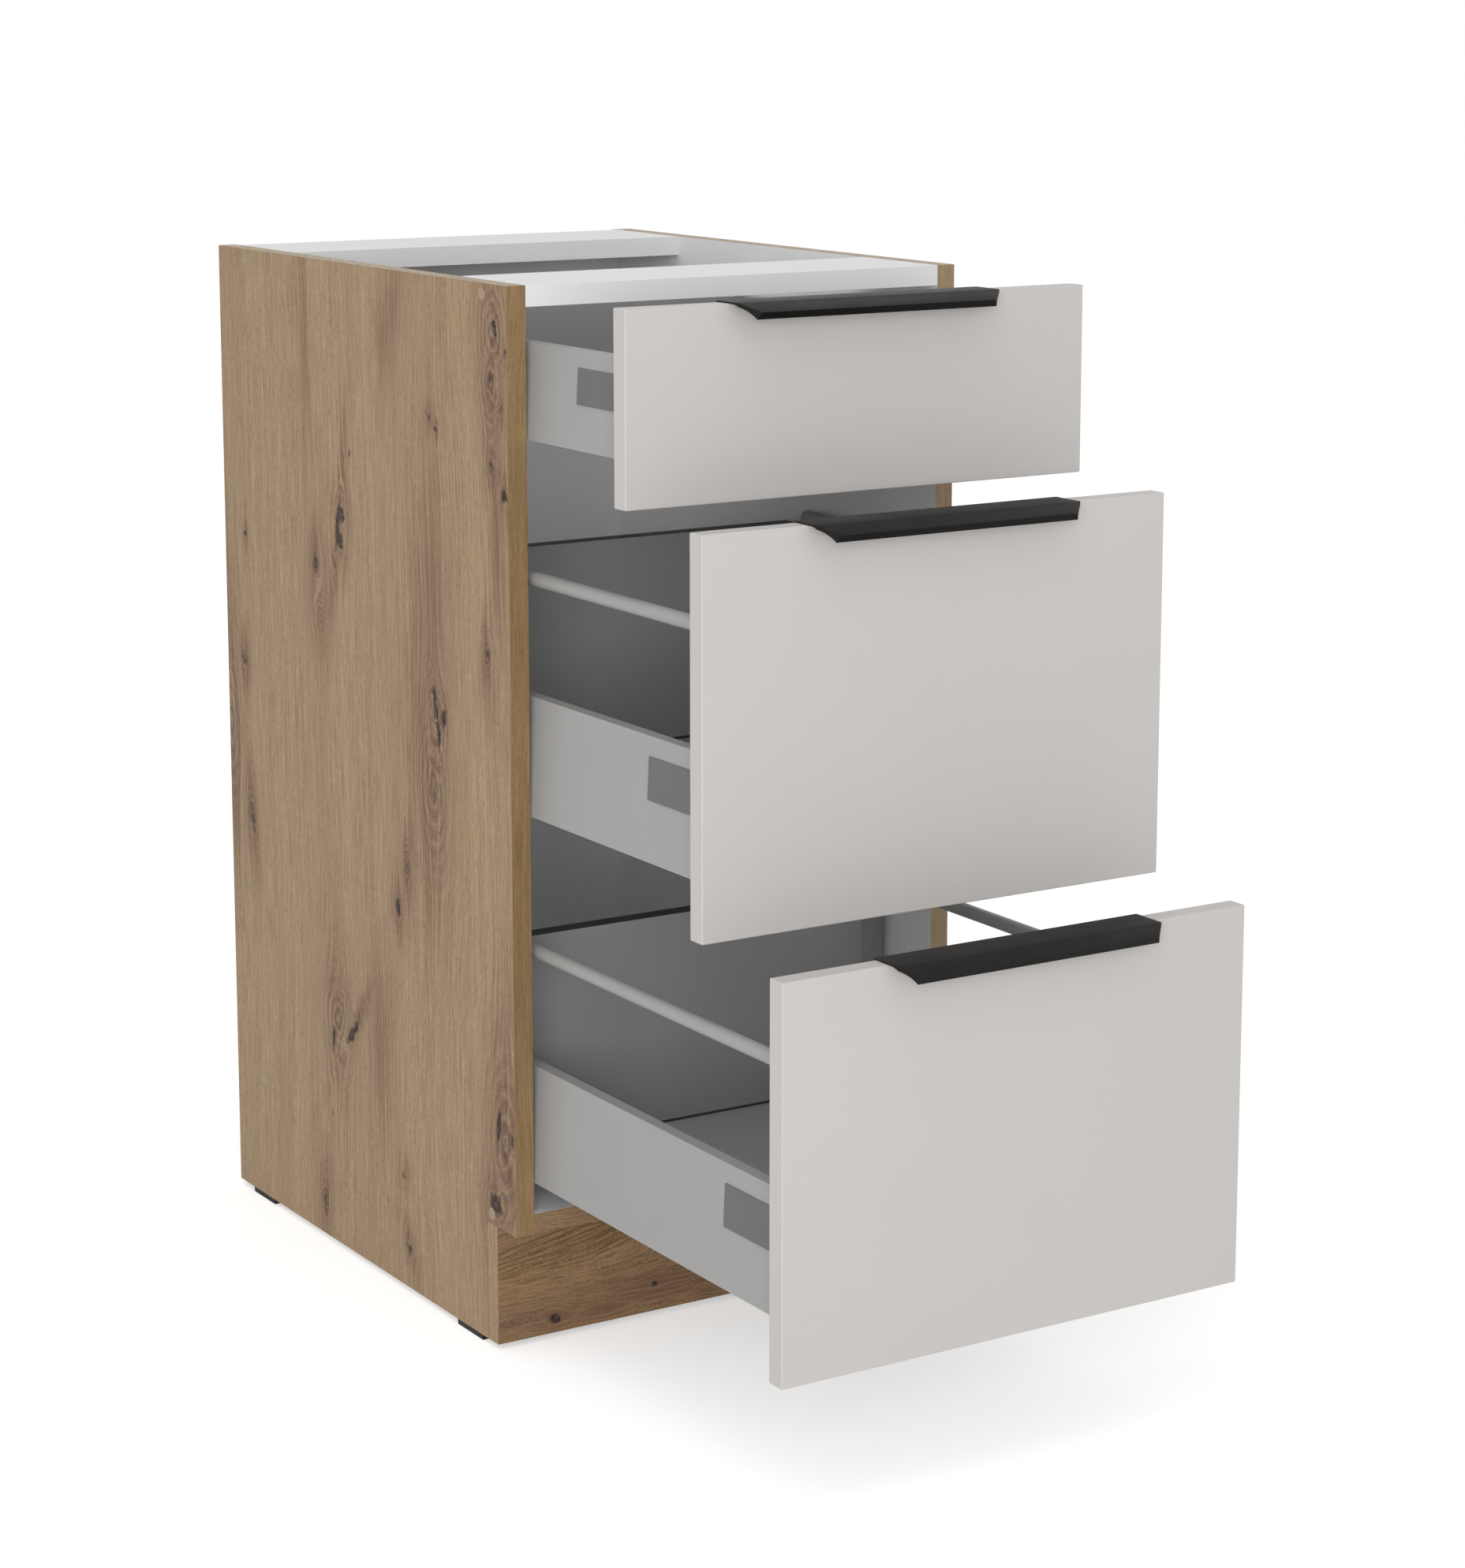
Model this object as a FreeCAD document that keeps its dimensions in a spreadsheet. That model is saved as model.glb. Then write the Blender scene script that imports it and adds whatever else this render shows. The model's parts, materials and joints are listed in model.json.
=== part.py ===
import FreeCAD, Part
import math
import os
import re

import Sketcher
from FreeCAD import Rotation, Vector

os.makedirs("parts", exist_ok=True)
doc = FreeCAD.newDocument("base_cabinet")
sheet = doc.addObject("Spreadsheet::Sheet", "sizes")

# Every size of the cabinet is named here once, in millimetres.
# Values whose name ends in share are parts of a whole and have no unit.
SIZES = {
    # Carcass boards
    "cabinet_width": 400.0,
    "side_height": 820.0,
    "cabinet_depth": 505.0,
    "board_thick": 16.0,
    "toe_height": 95.5,
    "toe_setback": 46.2,
    "front_rail_depth": 102.0,
    "rear_rail_depth": 102.4,
    "back_recess": 11.6,
    "back_thick": 3.0,
    "groove_depth": 6.0,
    "groove_play": 0.15,
    # Floor glides under the four lower corners
    "glide_height": 4.2,
    "glide_length": 41.5,
    "glide_front": 55.7,
    "glide_rear_inset": 28.0,
    "glide_peg_radius": 3.0,
    "glide_peg_length": 12.0,
    # Connector screws with their caps, and dowels
    "fit": 0.05,
    "connector_front": 38.5,
    "connector_rear_inset": 51.0,
    "connector_radius": 3.4,
    "connector_length": 46.0,
    "connector_head_radius": 4.9,
    "connector_head_thick": 2.0,
    "cap_radius": 5.0,
    "cap_thick": 1.2,
    "dowel_radius": 4.0,
    "dowel_length": 30.0,
    "dowel_sunk": 10.0,
    "dowel_low": 28.0,
    "dowel_high": 68.0,
    "dowel_beside": 52.0,
    # Nails of the back panel
    "nail_radius": 0.8,
    "nail_length": 20.0,
    "nail_head_radius": 2.6,
    "nail_head_thick": 0.8,
    "nail_spread": 120.0,
    # Small countersunk screws of rails, brackets and handles
    "screw_radius": 1.75,
    "screw_length": 12.0,
    "screw_head_radius": 3.2,
    "screw_head_thick": 1.5,
    # Drawer openings in the pictured state and the closed gap
    "closed_gap": 2.0,
    "open_1": 149.5,
    "open_2": 250.5,
    "open_3": 352.0,
    # Drawer fronts: the gaps round them, and how far each hangs below its metal walls
    "front_reveal": 1.5,
    "front_thick": 16.0,
    "front_edge_round": 1.0,
    "front_top_gap": 4.5,
    "front_gap_1": 3.8,
    "front_gap_2": 2.8,
    "front_foot_gap": 2.4,
    "front_height_1": 140.9,
    "front_drop_1": 31.6,
    "front_drop_2": 36.3,
    "front_drop_3": 38.2,
    # Handle profile: reaches are measured forward from the face of the front
    "handle_length": 226.0,
    "handle_plate": 1.2,
    "handle_flange_thick": 1.5,
    "handle_flange_drop": 14.0,
    "handle_flat_reach": 11.0,
    "handle_nose_reach": 24.0,
    "handle_nose_drop": 5.0,
    "handle_tip_reach": 21.0,
    "handle_tip_drop": 10.2,
    "handle_curve_reach": 3.0,
    "handle_bevel_run": 12.5,
    "handle_screw_spread": 90.0,
    "handle_screw_drop": 7.5,
    # Double steel walls, measured in from the inner face of a side panel
    "wall_rear_room": 77.0,
    "wall_height_1": 71.8,
    "wall_height_2": 91.0,
    "wall_height_3": 91.0,
    "wall_foot": 1.0,
    "wall_lean": 4.0,
    "wall_top_width": 10.0,
    "wall_skin": 1.0,
    "wall_flange": 12.0,
    # Telescopic rails hidden in the walls
    "rail_front": 37.0,
    "rail_rear_room": 52.0,
    "rail_steel": 1.2,
    "rail_web": 5.0,
    "rail_lip": 11.0,
    "rail_low": 4.0,
    "rail_head": 38.0,
    "rail_foot_drop": 14.0,
    "rail_flange_drop": 2.0,
    "rail_screw_drop": 7.8,
    "rail_screw_inset": 35.5,
    "rail_play": 0.3,
    "slide_inset": 2.0,
    "slide_short": 20.0,
    "slide_steel": 1.0,
    "slide_web_gap": 0.5,
    "slide_lip": 12.5,
    "wall_lip_end": 8.2,
    # Drawer boards
    "box_board": 16.0,
    "box_floor": 8.0,
    "floor_screw_length": 6.5,
    "box_rise": 6.7,
    "box_play": 0.2,
    "box_back_gap": 0.3,
    # Brackets beside the back boards and behind the fronts
    "bracket_steel": 1.2,
    "bracket_out": 8.4,
    "bracket_in": 28.2,
    "bracket_nose_out": 4.5,
    "bracket_nose_drop": 12.0,
    "bracket_nose_slope": 6.5,
    "arm_steel": 1.5,
    "arm_out": 6.5,
    "arm_rise": 3.0,
    "arm_length": 78.0,
    "arm_screw": 10.0,
    "arm_screw_inset": 4.5,
    # Cover plates on the outer skins
    "plate_front": 22.0,
    "plate_rear_1": 81.0,
    "plate_rear_2": 85.0,
    "plate_rear_3": 85.0,
    "plate_low_1": 33.0,
    "plate_low_2": 45.0,
    "plate_low_3": 45.0,
    "plate_high_1": 59.4,
    "plate_high_2": 76.5,
    "plate_high_3": 76.5,
    "plate_thick": 1.0,
    # Gallery rods above the high walls
    "rod_radius": 5.5,
    "rod_in": 10.5,
    "rod_drop_2": 69.8,
    "rod_drop_3": 67.9,
    "rod_over_back": 2.0,
    "rod_start": 4.5,
    "rod_rear_gap": 4.0,
    "socket_radius": 8.0,
    "socket_length": 14.0,
    "socket_floor": 2.5,
    # Soft buffers behind the fronts
    "buffer_radius": 4.0,
    "buffer_thick": 1.8,
    "buffer_inset": 22.0,
}

# Sizes that follow from the named ones.
DERIVED = {
    "half_width": "cabinet_width / 2",
    "inner_half": "half_width - board_thick",
    "board_middle": "board_thick / 2",
    "top_underside": "side_height - board_thick",
    "back_face": "cabinet_depth - back_recess",
    "rear_rail_start": "back_face - rear_rail_depth",
    "connector_rear": "cabinet_depth - connector_rear_inset",
    "dowel_front": "connector_front + dowel_beside",
    "dowel_rear": "connector_rear - dowel_beside",
    "glide_rear": "cabinet_depth - glide_rear_inset - glide_length",
    "glide_middle": "glide_length / 2",
    "bottom_top": "toe_height + board_thick",
    "plinth_face": "toe_setback - board_thick",
    "back_rear": "back_face + back_thick",
    "front_width": "cabinet_width - 2 * front_reveal",
    "front_gaps": "front_top_gap + front_gap_1 + front_gap_2 + front_foot_gap",
    "tall_front": "(side_height - toe_height - front_height_1 - front_gaps) / 2",
    "front_height_2": "tall_front",
    "front_height_3": "tall_front",
    "front_bottom_1": "side_height - front_top_gap - front_height_1",
    "front_bottom_2": "front_bottom_1 - front_gap_1 - front_height_2",
    "front_bottom_3": "toe_height + front_foot_gap",
    "wall_bottom_1": "front_bottom_1 + front_drop_1",
    "wall_bottom_2": "front_bottom_2 + front_drop_2",
    "wall_bottom_3": "front_bottom_3 + front_drop_3",
    "front_top_1": "front_height_1 - front_drop_1",
    "front_top_2": "front_height_2 - front_drop_2",
    "front_top_3": "front_height_3 - front_drop_3",
    "handle_half": "handle_length / 2",
    "handle_flat": "front_thick + handle_flat_reach",
    "handle_nose": "front_thick + handle_nose_reach",
    "handle_tip": "front_thick + handle_tip_reach",
    "handle_curve_start": "front_thick + handle_curve_reach",
    "handle_reach": "handle_nose - handle_flat",
    "handle_span": "handle_tip - handle_curve_start",
    "handle_curve": "(handle_span ^ 2 + handle_tip_drop ^ 2) / (2 * handle_tip_drop)",
    "rail_length": "cabinet_depth - rail_front - rail_rear_room",
    "rail_rear": "rail_front + rail_length",
    "wall_length": "cabinet_depth - wall_rear_room",
    "slide_length": "rail_length - slide_short",
    "skin_top": "wall_foot + wall_lean",
    "wall_in": "skin_top + wall_top_width",
    "box_half": "inner_half - wall_in - box_play",
    "box_underside": "box_rise - box_floor",
    "flange_underside": "box_underside - wall_skin",
    "back_half": "inner_half - bracket_in - box_back_gap",
    "box_back_front": "wall_length - box_board",
    "rail_bend": "rail_web + rail_steel",
    "slide_web": "rail_bend + slide_web_gap",
    "slide_low": "rail_low + rail_steel + rail_play",
    "slide_head": "rail_head - rail_steel - rail_play",
    "lip_low": "slide_low + slide_steel + rail_play",
    "lip_head": "slide_head - slide_steel - rail_play",
    "arm_low": "rail_head + arm_rise",
    "bracket_wall": "wall_in + bracket_steel",
    "rod_rise_2": "front_top_2 - rod_drop_2",
    "rod_rise_3": "front_top_3 - rod_drop_3",
    "rod_end": "wall_length - rod_rear_gap",
    "box_back_height_1": "wall_height_1",
    "box_back_height_2": "rod_rise_2 - rod_over_back",
    "box_back_height_3": "rod_rise_3 - rod_over_back",
}

for row, (name, number) in enumerate(SIZES.items(), start=1):
    sheet.set(f"A{row}", name)
    sheet.set(f"B{row}", str(number))
    sheet.setAlias(f"B{row}", name)
doc.recompute()

WORD = r"[a-z]\w*"
ORIGIN_PLANES = ("XY_Plane", "XZ_Plane", "YZ_Plane")
TURNS = {
    "+x": Rotation(Vector(0, 1, 0), 90),
    "-x": Rotation(Vector(0, 1, 0), -90),
    "+y": Rotation(Vector(1, 0, 0), -90),
    "-y": Rotation(Vector(1, 0, 0), 90),
    "+z": Rotation(),
    "-z": Rotation(Vector(1, 0, 0), 180),
}
LEFT = -1
RIGHT = 1
SIDES = (LEFT, RIGHT)
INWARD = {LEFT: "+x", RIGHT: "-x"}
OUTWARD = {LEFT: "-x", RIGHT: "+x"}
DRAWERS = (1, 2, 3)
TALL_DRAWERS = (2, 3)

pieces = []


def spelled(text):
    """Write a size text out until only names of the sheet are left."""
    while True:
        longer = re.sub(WORD, lambda word: f"({DERIVED[word[0]]})" if word[0] in DERIVED else word[0], text)
        if longer == text:
            return text
        text = longer


def bind(feature, path, text):
    """Tie one property of a feature to the sheet."""
    feature.setExpression(path, re.sub(WORD, r"sizes.\g<0>", spelled(text)))


def value(text):
    """Work a size text out as a number, used only for first guesses of sketches."""
    return float(sheet.evalExpression(spelled(text)))


def from_outside(side, inset):
    """Sideways place of a point that lies an inset inside the outer face of a side panel."""
    return f"{side} * (half_width - ({inset}))"


def from_inside(side, inset):
    """Sideways place of a point that lies an inset inside the inner face of a side panel."""
    return f"{side} * (inner_half - ({inset}))"


def new_piece(label, along="0", up="glide_height"):
    """Start a piece in a frame that is moved along the depth and up."""
    body = doc.addObject("PartDesign::Body", label)
    body.Label = label
    bind(body, "Placement.Base.y", along)
    bind(body, "Placement.Base.z", up)
    pieces.append(body)
    return body


def outline(body, plane, offset, corners, arcs=None):
    """Closed sketch through corners; arcs gives sides that bend away to the left of their way."""
    arcs = arcs or {}
    sketch = body.newObject("Sketcher::SketchObject", "Outline")
    support = next(item for item in body.Origin.OriginFeatures if item.Role == plane)
    sketch.AttachmentSupport = [(support, "")]
    sketch.MapMode = "FlatFace"
    bind(sketch, "AttachmentOffset.Base.z", offset)
    points = [Vector(value(first), value(second), 0) for first, second in corners]
    count = len(points)
    for index, start in enumerate(points):
        end = points[(index + 1) % count]
        if index not in arcs:
            sketch.addGeometry(Part.LineSegment(start, end))
            continue
        radius = value(arcs[index])
        chord = end - start
        rise = math.sqrt(radius ** 2 - (chord.Length / 2) ** 2)
        sideways = Vector(chord.y, -chord.x, 0).normalize()
        centre = (start + end) * 0.5 + sideways * rise
        circle = Part.Circle(centre, Vector(0, 0, 1), radius)
        first = math.atan2(end.y - centre.y, end.x - centre.x)
        last = math.atan2(start.y - centre.y, start.x - centre.x)
        sketch.addGeometry(Part.ArcOfCircle(circle, first, last))
    for index in range(count):
        following = (index + 1) % count
        leaving = 1 if index in arcs else 2
        arriving = 2 if following in arcs else 1
        sketch.addConstraint(Sketcher.Constraint("Coincident", index, leaving, following, arriving))
    for index, corner in enumerate(corners):
        vertex = 2 if index in arcs else 1
        for kind, guess, text in zip(("DistanceX", "DistanceY"), points[index], corner):
            number = sketch.addConstraint(Sketcher.Constraint(kind, -1, 1, index, vertex, guess))
            bind(sketch, f"Constraints[{number}]", text)
    for index, text in arcs.items():
        number = sketch.addConstraint(Sketcher.Constraint("Radius", index, value(text)))
        bind(sketch, f"Constraints[{number}]", text)
    return sketch


def pad(body, sketch, length):
    """Pad a sketch along its own normal."""
    feature = body.newObject("PartDesign::Pad", "Pad")
    feature.Profile = sketch
    bind(feature, "Length", length)
    return feature


def run_back(body, front, rear, corners):
    """Draw a profile seen from the front and run it from front to rear."""
    sketch = outline(body, "XZ_Plane", f"-({rear})", corners)
    return pad(body, sketch, f"({rear}) - ({front})")


def box(body, action, low, high):
    """Add or take away a block between two corners."""
    feature = body.newObject(f"PartDesign::{action}Box", action)
    for axis, start in zip("xyz", low):
        bind(feature, f"Placement.Base.{axis}", start)
    for path, start, end in zip(("Length", "Width", "Height"), low, high):
        bind(feature, path, f"({end}) - ({start})")
    return feature


def rod(body, action, start, turn, radius, length):
    """Add or take away a cylinder that runs from a start point."""
    feature = body.newObject(f"PartDesign::{action}Cylinder", action)
    feature.Placement.Rotation = TURNS[turn]
    for axis, place in zip("xyz", start):
        bind(feature, f"Placement.Base.{axis}", place)
    bind(feature, "Radius", radius)
    bind(feature, "Height", length)
    return feature


def step_on(start, turn, distance):
    """Move a start point along its direction."""
    moved = list(start)
    index = "xyz".index(turn[1])
    moved[index] = f"({start[index]}) {turn[0]} ({distance})"
    return tuple(moved)


def stepped_rod(body, action, start, turn, steps, play):
    """Add or take away cylinders in a row: steps of radius and length."""
    for radius, length in steps:
        rod(body, action, start, turn, f"{radius} + {play}", length)
        start = step_on(start, turn, length)


CONNECTOR = (
    ("connector_head_radius", "connector_head_thick"),
    ("connector_radius", "connector_length"),
)
NAIL = (
    ("nail_head_radius", "nail_head_thick"),
    ("nail_radius", "nail_length"),
)


def screw(body, action, start, turn, play="0", length="screw_length"):
    """Add a countersunk screw, or take its room away from the pieces it holds."""
    head = body.newObject(f"PartDesign::{action}Cone", action)
    head.Placement.Rotation = TURNS[turn]
    for axis, place in zip("xyz", start):
        bind(head, f"Placement.Base.{axis}", place)
    bind(head, "Radius1", f"screw_head_radius + {play}")
    bind(head, "Radius2", f"screw_radius + {play}")
    bind(head, "Height", "screw_head_thick")
    neck = step_on(start, turn, "screw_head_thick")
    rod(body, action, neck, turn, f"screw_radius + {play}", length)


def drill_screws(body, places, length="screw_length"):
    """Take away the room of several screws."""
    for start, turn in places:
        screw(body, "Subtractive", start, turn, "fit", length)


# Places of the fasteners in the carcass. The carcass frame starts at the lower edge of the sides.
CONNECTOR_PLACES = [
    ("connector_front", "side_height - board_middle"),
    ("connector_rear", "side_height - board_middle"),
    ("connector_front", "toe_height + board_middle"),
    ("connector_rear", "toe_height + board_middle"),
]
DOWEL_PLACES = [
    ("dowel_front", "toe_height + board_middle"),
    ("dowel_rear", "toe_height + board_middle"),
]
PLINTH_DOWELS = ["dowel_low", "dowel_high"]
GLIDE_STARTS = ["glide_front", "glide_rear"]
RAIL_SCREW_PLACES = [
    "rail_front + rail_screw_inset",
    "rail_front + rail_length / 2",
    "rail_rear - rail_screw_inset",
]
NAIL_HEIGHTS = ["toe_height + board_middle", "side_height - board_middle"]


def connector_start(side, place):
    """Outer end of a connector head under its cap."""
    return (from_outside(side, "cap_thick"), *place)


def cap_start(side, place):
    """Outer face of a cover cap."""
    return (from_outside(side, "0"), *place)


def dowel_start(side, place):
    """Outer end of a dowel that joins the bottom panel to a side."""
    return (from_inside(side, "-dowel_sunk"), *place)


def plinth_dowel_start(side, height):
    """Front end of a dowel that joins the plinth board to a side."""
    return (from_outside(side, "board_middle"), "toe_setback - dowel_sunk", height)


def peg_start(side, start):
    """Lower end of the peg on a floor glide."""
    return (from_outside(side, "board_middle"), f"{start} + glide_middle", "0")


def rail_screw_start(side, place, height):
    """Head of a screw that holds a cabinet rail."""
    return (from_inside(side, "rail_steel"), place, height)


# Side panels: notched for the toe space, grooved for the back, drilled for all that they hold
for side, name in ((LEFT, "side_panel_left"), (RIGHT, "side_panel_right")):
    panel = new_piece(name)
    notch = [
        ("0", "toe_height"),
        ("toe_setback", "toe_height"),
        ("toe_setback", "0"),
        ("cabinet_depth", "0"),
        ("cabinet_depth", "side_height"),
        ("0", "side_height"),
    ]
    start = "-half_width" if side == LEFT else "inner_half"
    pad(panel, outline(panel, "YZ_Plane", start, notch), "board_thick")
    groove_sides = [from_inside(side, "0"), from_inside(side, "-groove_depth")]
    if side == RIGHT:
        low_x, high_x = groove_sides
    else:
        high_x, low_x = groove_sides
    box(
        panel,
        "Subtractive",
        (low_x, "back_face - groove_play", "toe_height"),
        (high_x, "back_rear + groove_play", "side_height"),
    )
    for place in CONNECTOR_PLACES:
        rod(panel, "Subtractive", cap_start(side, place), INWARD[side], "cap_radius + fit", "cap_thick")
        stepped_rod(panel, "Subtractive", connector_start(side, place), INWARD[side], CONNECTOR, "fit")
    for place in DOWEL_PLACES:
        rod(panel, "Subtractive", dowel_start(side, place), INWARD[side], "dowel_radius + fit", "dowel_length")
    for height in PLINTH_DOWELS:
        rod(panel, "Subtractive", plinth_dowel_start(side, height), "+y", "dowel_radius + fit", "dowel_length")
    for start in GLIDE_STARTS:
        rod(panel, "Subtractive", peg_start(side, start), "+z", "glide_peg_radius + fit", "glide_peg_length")
    for drawer in DRAWERS:
        for place in RAIL_SCREW_PLACES:
            height = f"wall_bottom_{drawer} - rail_screw_drop"
            screw(panel, "Subtractive", rail_screw_start(side, place, height), OUTWARD[side], "fit")

# Bottom panel between the sides
bottom_panel = new_piece("bottom_panel")
box(bottom_panel, "Additive", ("-inner_half", "0", "toe_height"), ("inner_half", "back_face", "bottom_top"))
for side in SIDES:
    for place in CONNECTOR_PLACES[2:]:
        stepped_rod(bottom_panel, "Subtractive", connector_start(side, place), INWARD[side], CONNECTOR, "fit")
    for place in DOWEL_PLACES:
        start = dowel_start(side, place)
        rod(bottom_panel, "Subtractive", start, INWARD[side], "dowel_radius + fit", "dowel_length")

# Flat rails across the top
top_rail_front = new_piece("top_rail_front")
top_rail_rear = new_piece("top_rail_rear")
rail_ends = (
    (top_rail_front, "0", "front_rail_depth", CONNECTOR_PLACES[0]),
    (top_rail_rear, "rear_rail_start", "back_face", CONNECTOR_PLACES[1]),
)
for rail, front, rear, place in rail_ends:
    box(rail, "Additive", ("-inner_half", front, "top_underside"), ("inner_half", rear, "side_height"))
    for side in SIDES:
        stepped_rod(rail, "Subtractive", connector_start(side, place), INWARD[side], CONNECTOR, "fit")

# Back panel in the grooves of the sides, nailed to the bottom panel and the rear rail
back_panel = new_piece("back_panel")
back_reach = "inner_half + groove_depth - groove_play"
box(
    back_panel,
    "Additive",
    (f"-({back_reach})", "back_face", "toe_height"),
    (back_reach, "back_rear", "side_height"),
)
nails = new_piece("back_panel_nails")
for height in NAIL_HEIGHTS:
    for spread in ("-nail_spread", "0", "nail_spread"):
        start = (spread, "back_rear + nail_head_thick", height)
        stepped_rod(nails, "Additive", start, "-y", NAIL, "0")
        for holder in (back_panel, bottom_panel if height == NAIL_HEIGHTS[0] else top_rail_rear):
            stepped_rod(holder, "Subtractive", start, "-y", NAIL, "fit")

# Plinth board in front of the sides, below the bottom panel
plinth = new_piece("plinth_board")
box(plinth, "Additive", ("-half_width", "plinth_face", "0"), ("half_width", "toe_setback", "toe_height"))

# Connector screws, their caps and the dowels
connectors = new_piece("connector_screws")
caps = new_piece("cover_caps")
dowels = new_piece("dowels")
for side in SIDES:
    for place in CONNECTOR_PLACES:
        stepped_rod(connectors, "Additive", connector_start(side, place), INWARD[side], CONNECTOR, "0")
        rod(caps, "Additive", cap_start(side, place), INWARD[side], "cap_radius", "cap_thick")
    for place in DOWEL_PLACES:
        rod(dowels, "Additive", dowel_start(side, place), INWARD[side], "dowel_radius", "dowel_length")
    for height in PLINTH_DOWELS:
        start = plinth_dowel_start(side, height)
        rod(dowels, "Additive", start, "+y", "dowel_radius", "dowel_length")
        rod(plinth, "Subtractive", start, "+y", "dowel_radius + fit", "dowel_length")

# Floor glides with pegs that sit in the lower edges of the sides
glides = new_piece("floor_glides")
for side in SIDES:
    low_x = "-half_width" if side == LEFT else "inner_half"
    for start in GLIDE_STARTS:
        low = (low_x, start, "-glide_height")
        high = (f"{low_x} + board_thick", f"{start} + glide_length", "0")
        box(glides, "Additive", low, high)
        rod(glides, "Additive", peg_start(side, start), "+z", "glide_peg_radius", "glide_peg_length")

# Cabinet rails: a foot screwed to the side and a channel that reaches up into the drawer wall
rail_screws = new_piece("rail_screws")
for drawer in DRAWERS:
    rails = new_piece(f"cabinet_rails_{drawer}", up=f"glide_height + wall_bottom_{drawer}")
    for side in SIDES:
        profile = [
            ("0", "-rail_foot_drop"),
            ("rail_bend", "-rail_foot_drop"),
            ("rail_bend", "rail_low"),
            ("rail_lip", "rail_low"),
            ("rail_lip", "rail_low + rail_steel"),
            ("rail_bend", "rail_low + rail_steel"),
            ("rail_bend", "rail_head - rail_steel"),
            ("rail_lip", "rail_head - rail_steel"),
            ("rail_lip", "rail_head"),
            ("rail_web", "rail_head"),
            ("rail_web", "rail_steel - rail_foot_drop"),
            ("rail_steel", "rail_steel - rail_foot_drop"),
            ("rail_steel", "-rail_flange_drop"),
            ("0", "-rail_flange_drop"),
        ]
        corners = [(from_inside(side, inset), height) for inset, height in profile]
        run_back(rails, "rail_front", "rail_rear", corners)
        for place in RAIL_SCREW_PLACES:
            start = rail_screw_start(side, place, "-rail_screw_drop")
            screw(rails, "Subtractive", start, OUTWARD[side], "fit")
            height = f"wall_bottom_{drawer} - rail_screw_drop"
            screw(rail_screws, "Additive", rail_screw_start(side, place, height), OUTWARD[side])


def skin_at(height, drawer):
    """Inset of the outer skin of a leaning wall at one height."""
    return f"wall_foot + wall_lean * ({height}) / wall_height_{drawer}"


def make_slides(drawer):
    """Middle members of the telescopic rails, half as far out as the drawer."""
    for side, name in ((LEFT, "left"), (RIGHT, "right")):
        place = {"along": f"-open_{drawer} / 2", "up": f"glide_height + wall_bottom_{drawer}"}
        slide = new_piece(f"slide_{name}_{drawer}", **place)
        profile = [
            ("slide_web", "slide_low"),
            ("slide_lip", "slide_low"),
            ("slide_lip", "slide_low + slide_steel"),
            ("slide_web + slide_steel", "slide_low + slide_steel"),
            ("slide_web + slide_steel", "slide_head - slide_steel"),
            ("slide_lip", "slide_head - slide_steel"),
            ("slide_lip", "slide_head"),
            ("slide_web", "slide_head"),
        ]
        front = "rail_front + slide_inset"
        corners = [(from_inside(side, inset), height) for inset, height in profile]
        run_back(slide, front, f"{front} + slide_length", corners)


def make_walls(drawer, frame, screws):
    """Two double walls of folded steel with the drawer member of the rails inside."""
    top = f"wall_height_{drawer}"
    skin = "wall_in - wall_skin"
    profile = [
        ("wall_foot", "0"),
        ("skin_top", top),
        ("wall_in", top),
        ("wall_in", "box_underside"),
        ("wall_in + wall_flange", "box_underside"),
        ("wall_in + wall_flange", "flange_underside"),
        (skin, "flange_underside"),
        (skin, "lip_low"),
        ("wall_lip_end", "lip_low"),
        ("wall_lip_end", "lip_low + wall_skin"),
        (skin, "lip_low + wall_skin"),
        (skin, "lip_head - wall_skin"),
        ("wall_lip_end", "lip_head - wall_skin"),
        ("wall_lip_end", "lip_head"),
        (skin, "lip_head"),
        (skin, f"{top} - wall_skin"),
        ("skin_top + wall_skin", f"{top} - wall_skin"),
        ("wall_foot + wall_skin", "0"),
    ]
    for side, name in ((LEFT, "left"), (RIGHT, "right")):
        wall = new_piece(f"wall_{name}_{drawer}", **frame)
        run_back(wall, "0", "wall_length", [(from_inside(side, inset), height) for inset, height in profile])
        own_screws = [item for item in screws if item[0][0].startswith(f"{side} ")]
        drill_screws(wall, own_screws, "floor_screw_length")


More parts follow.
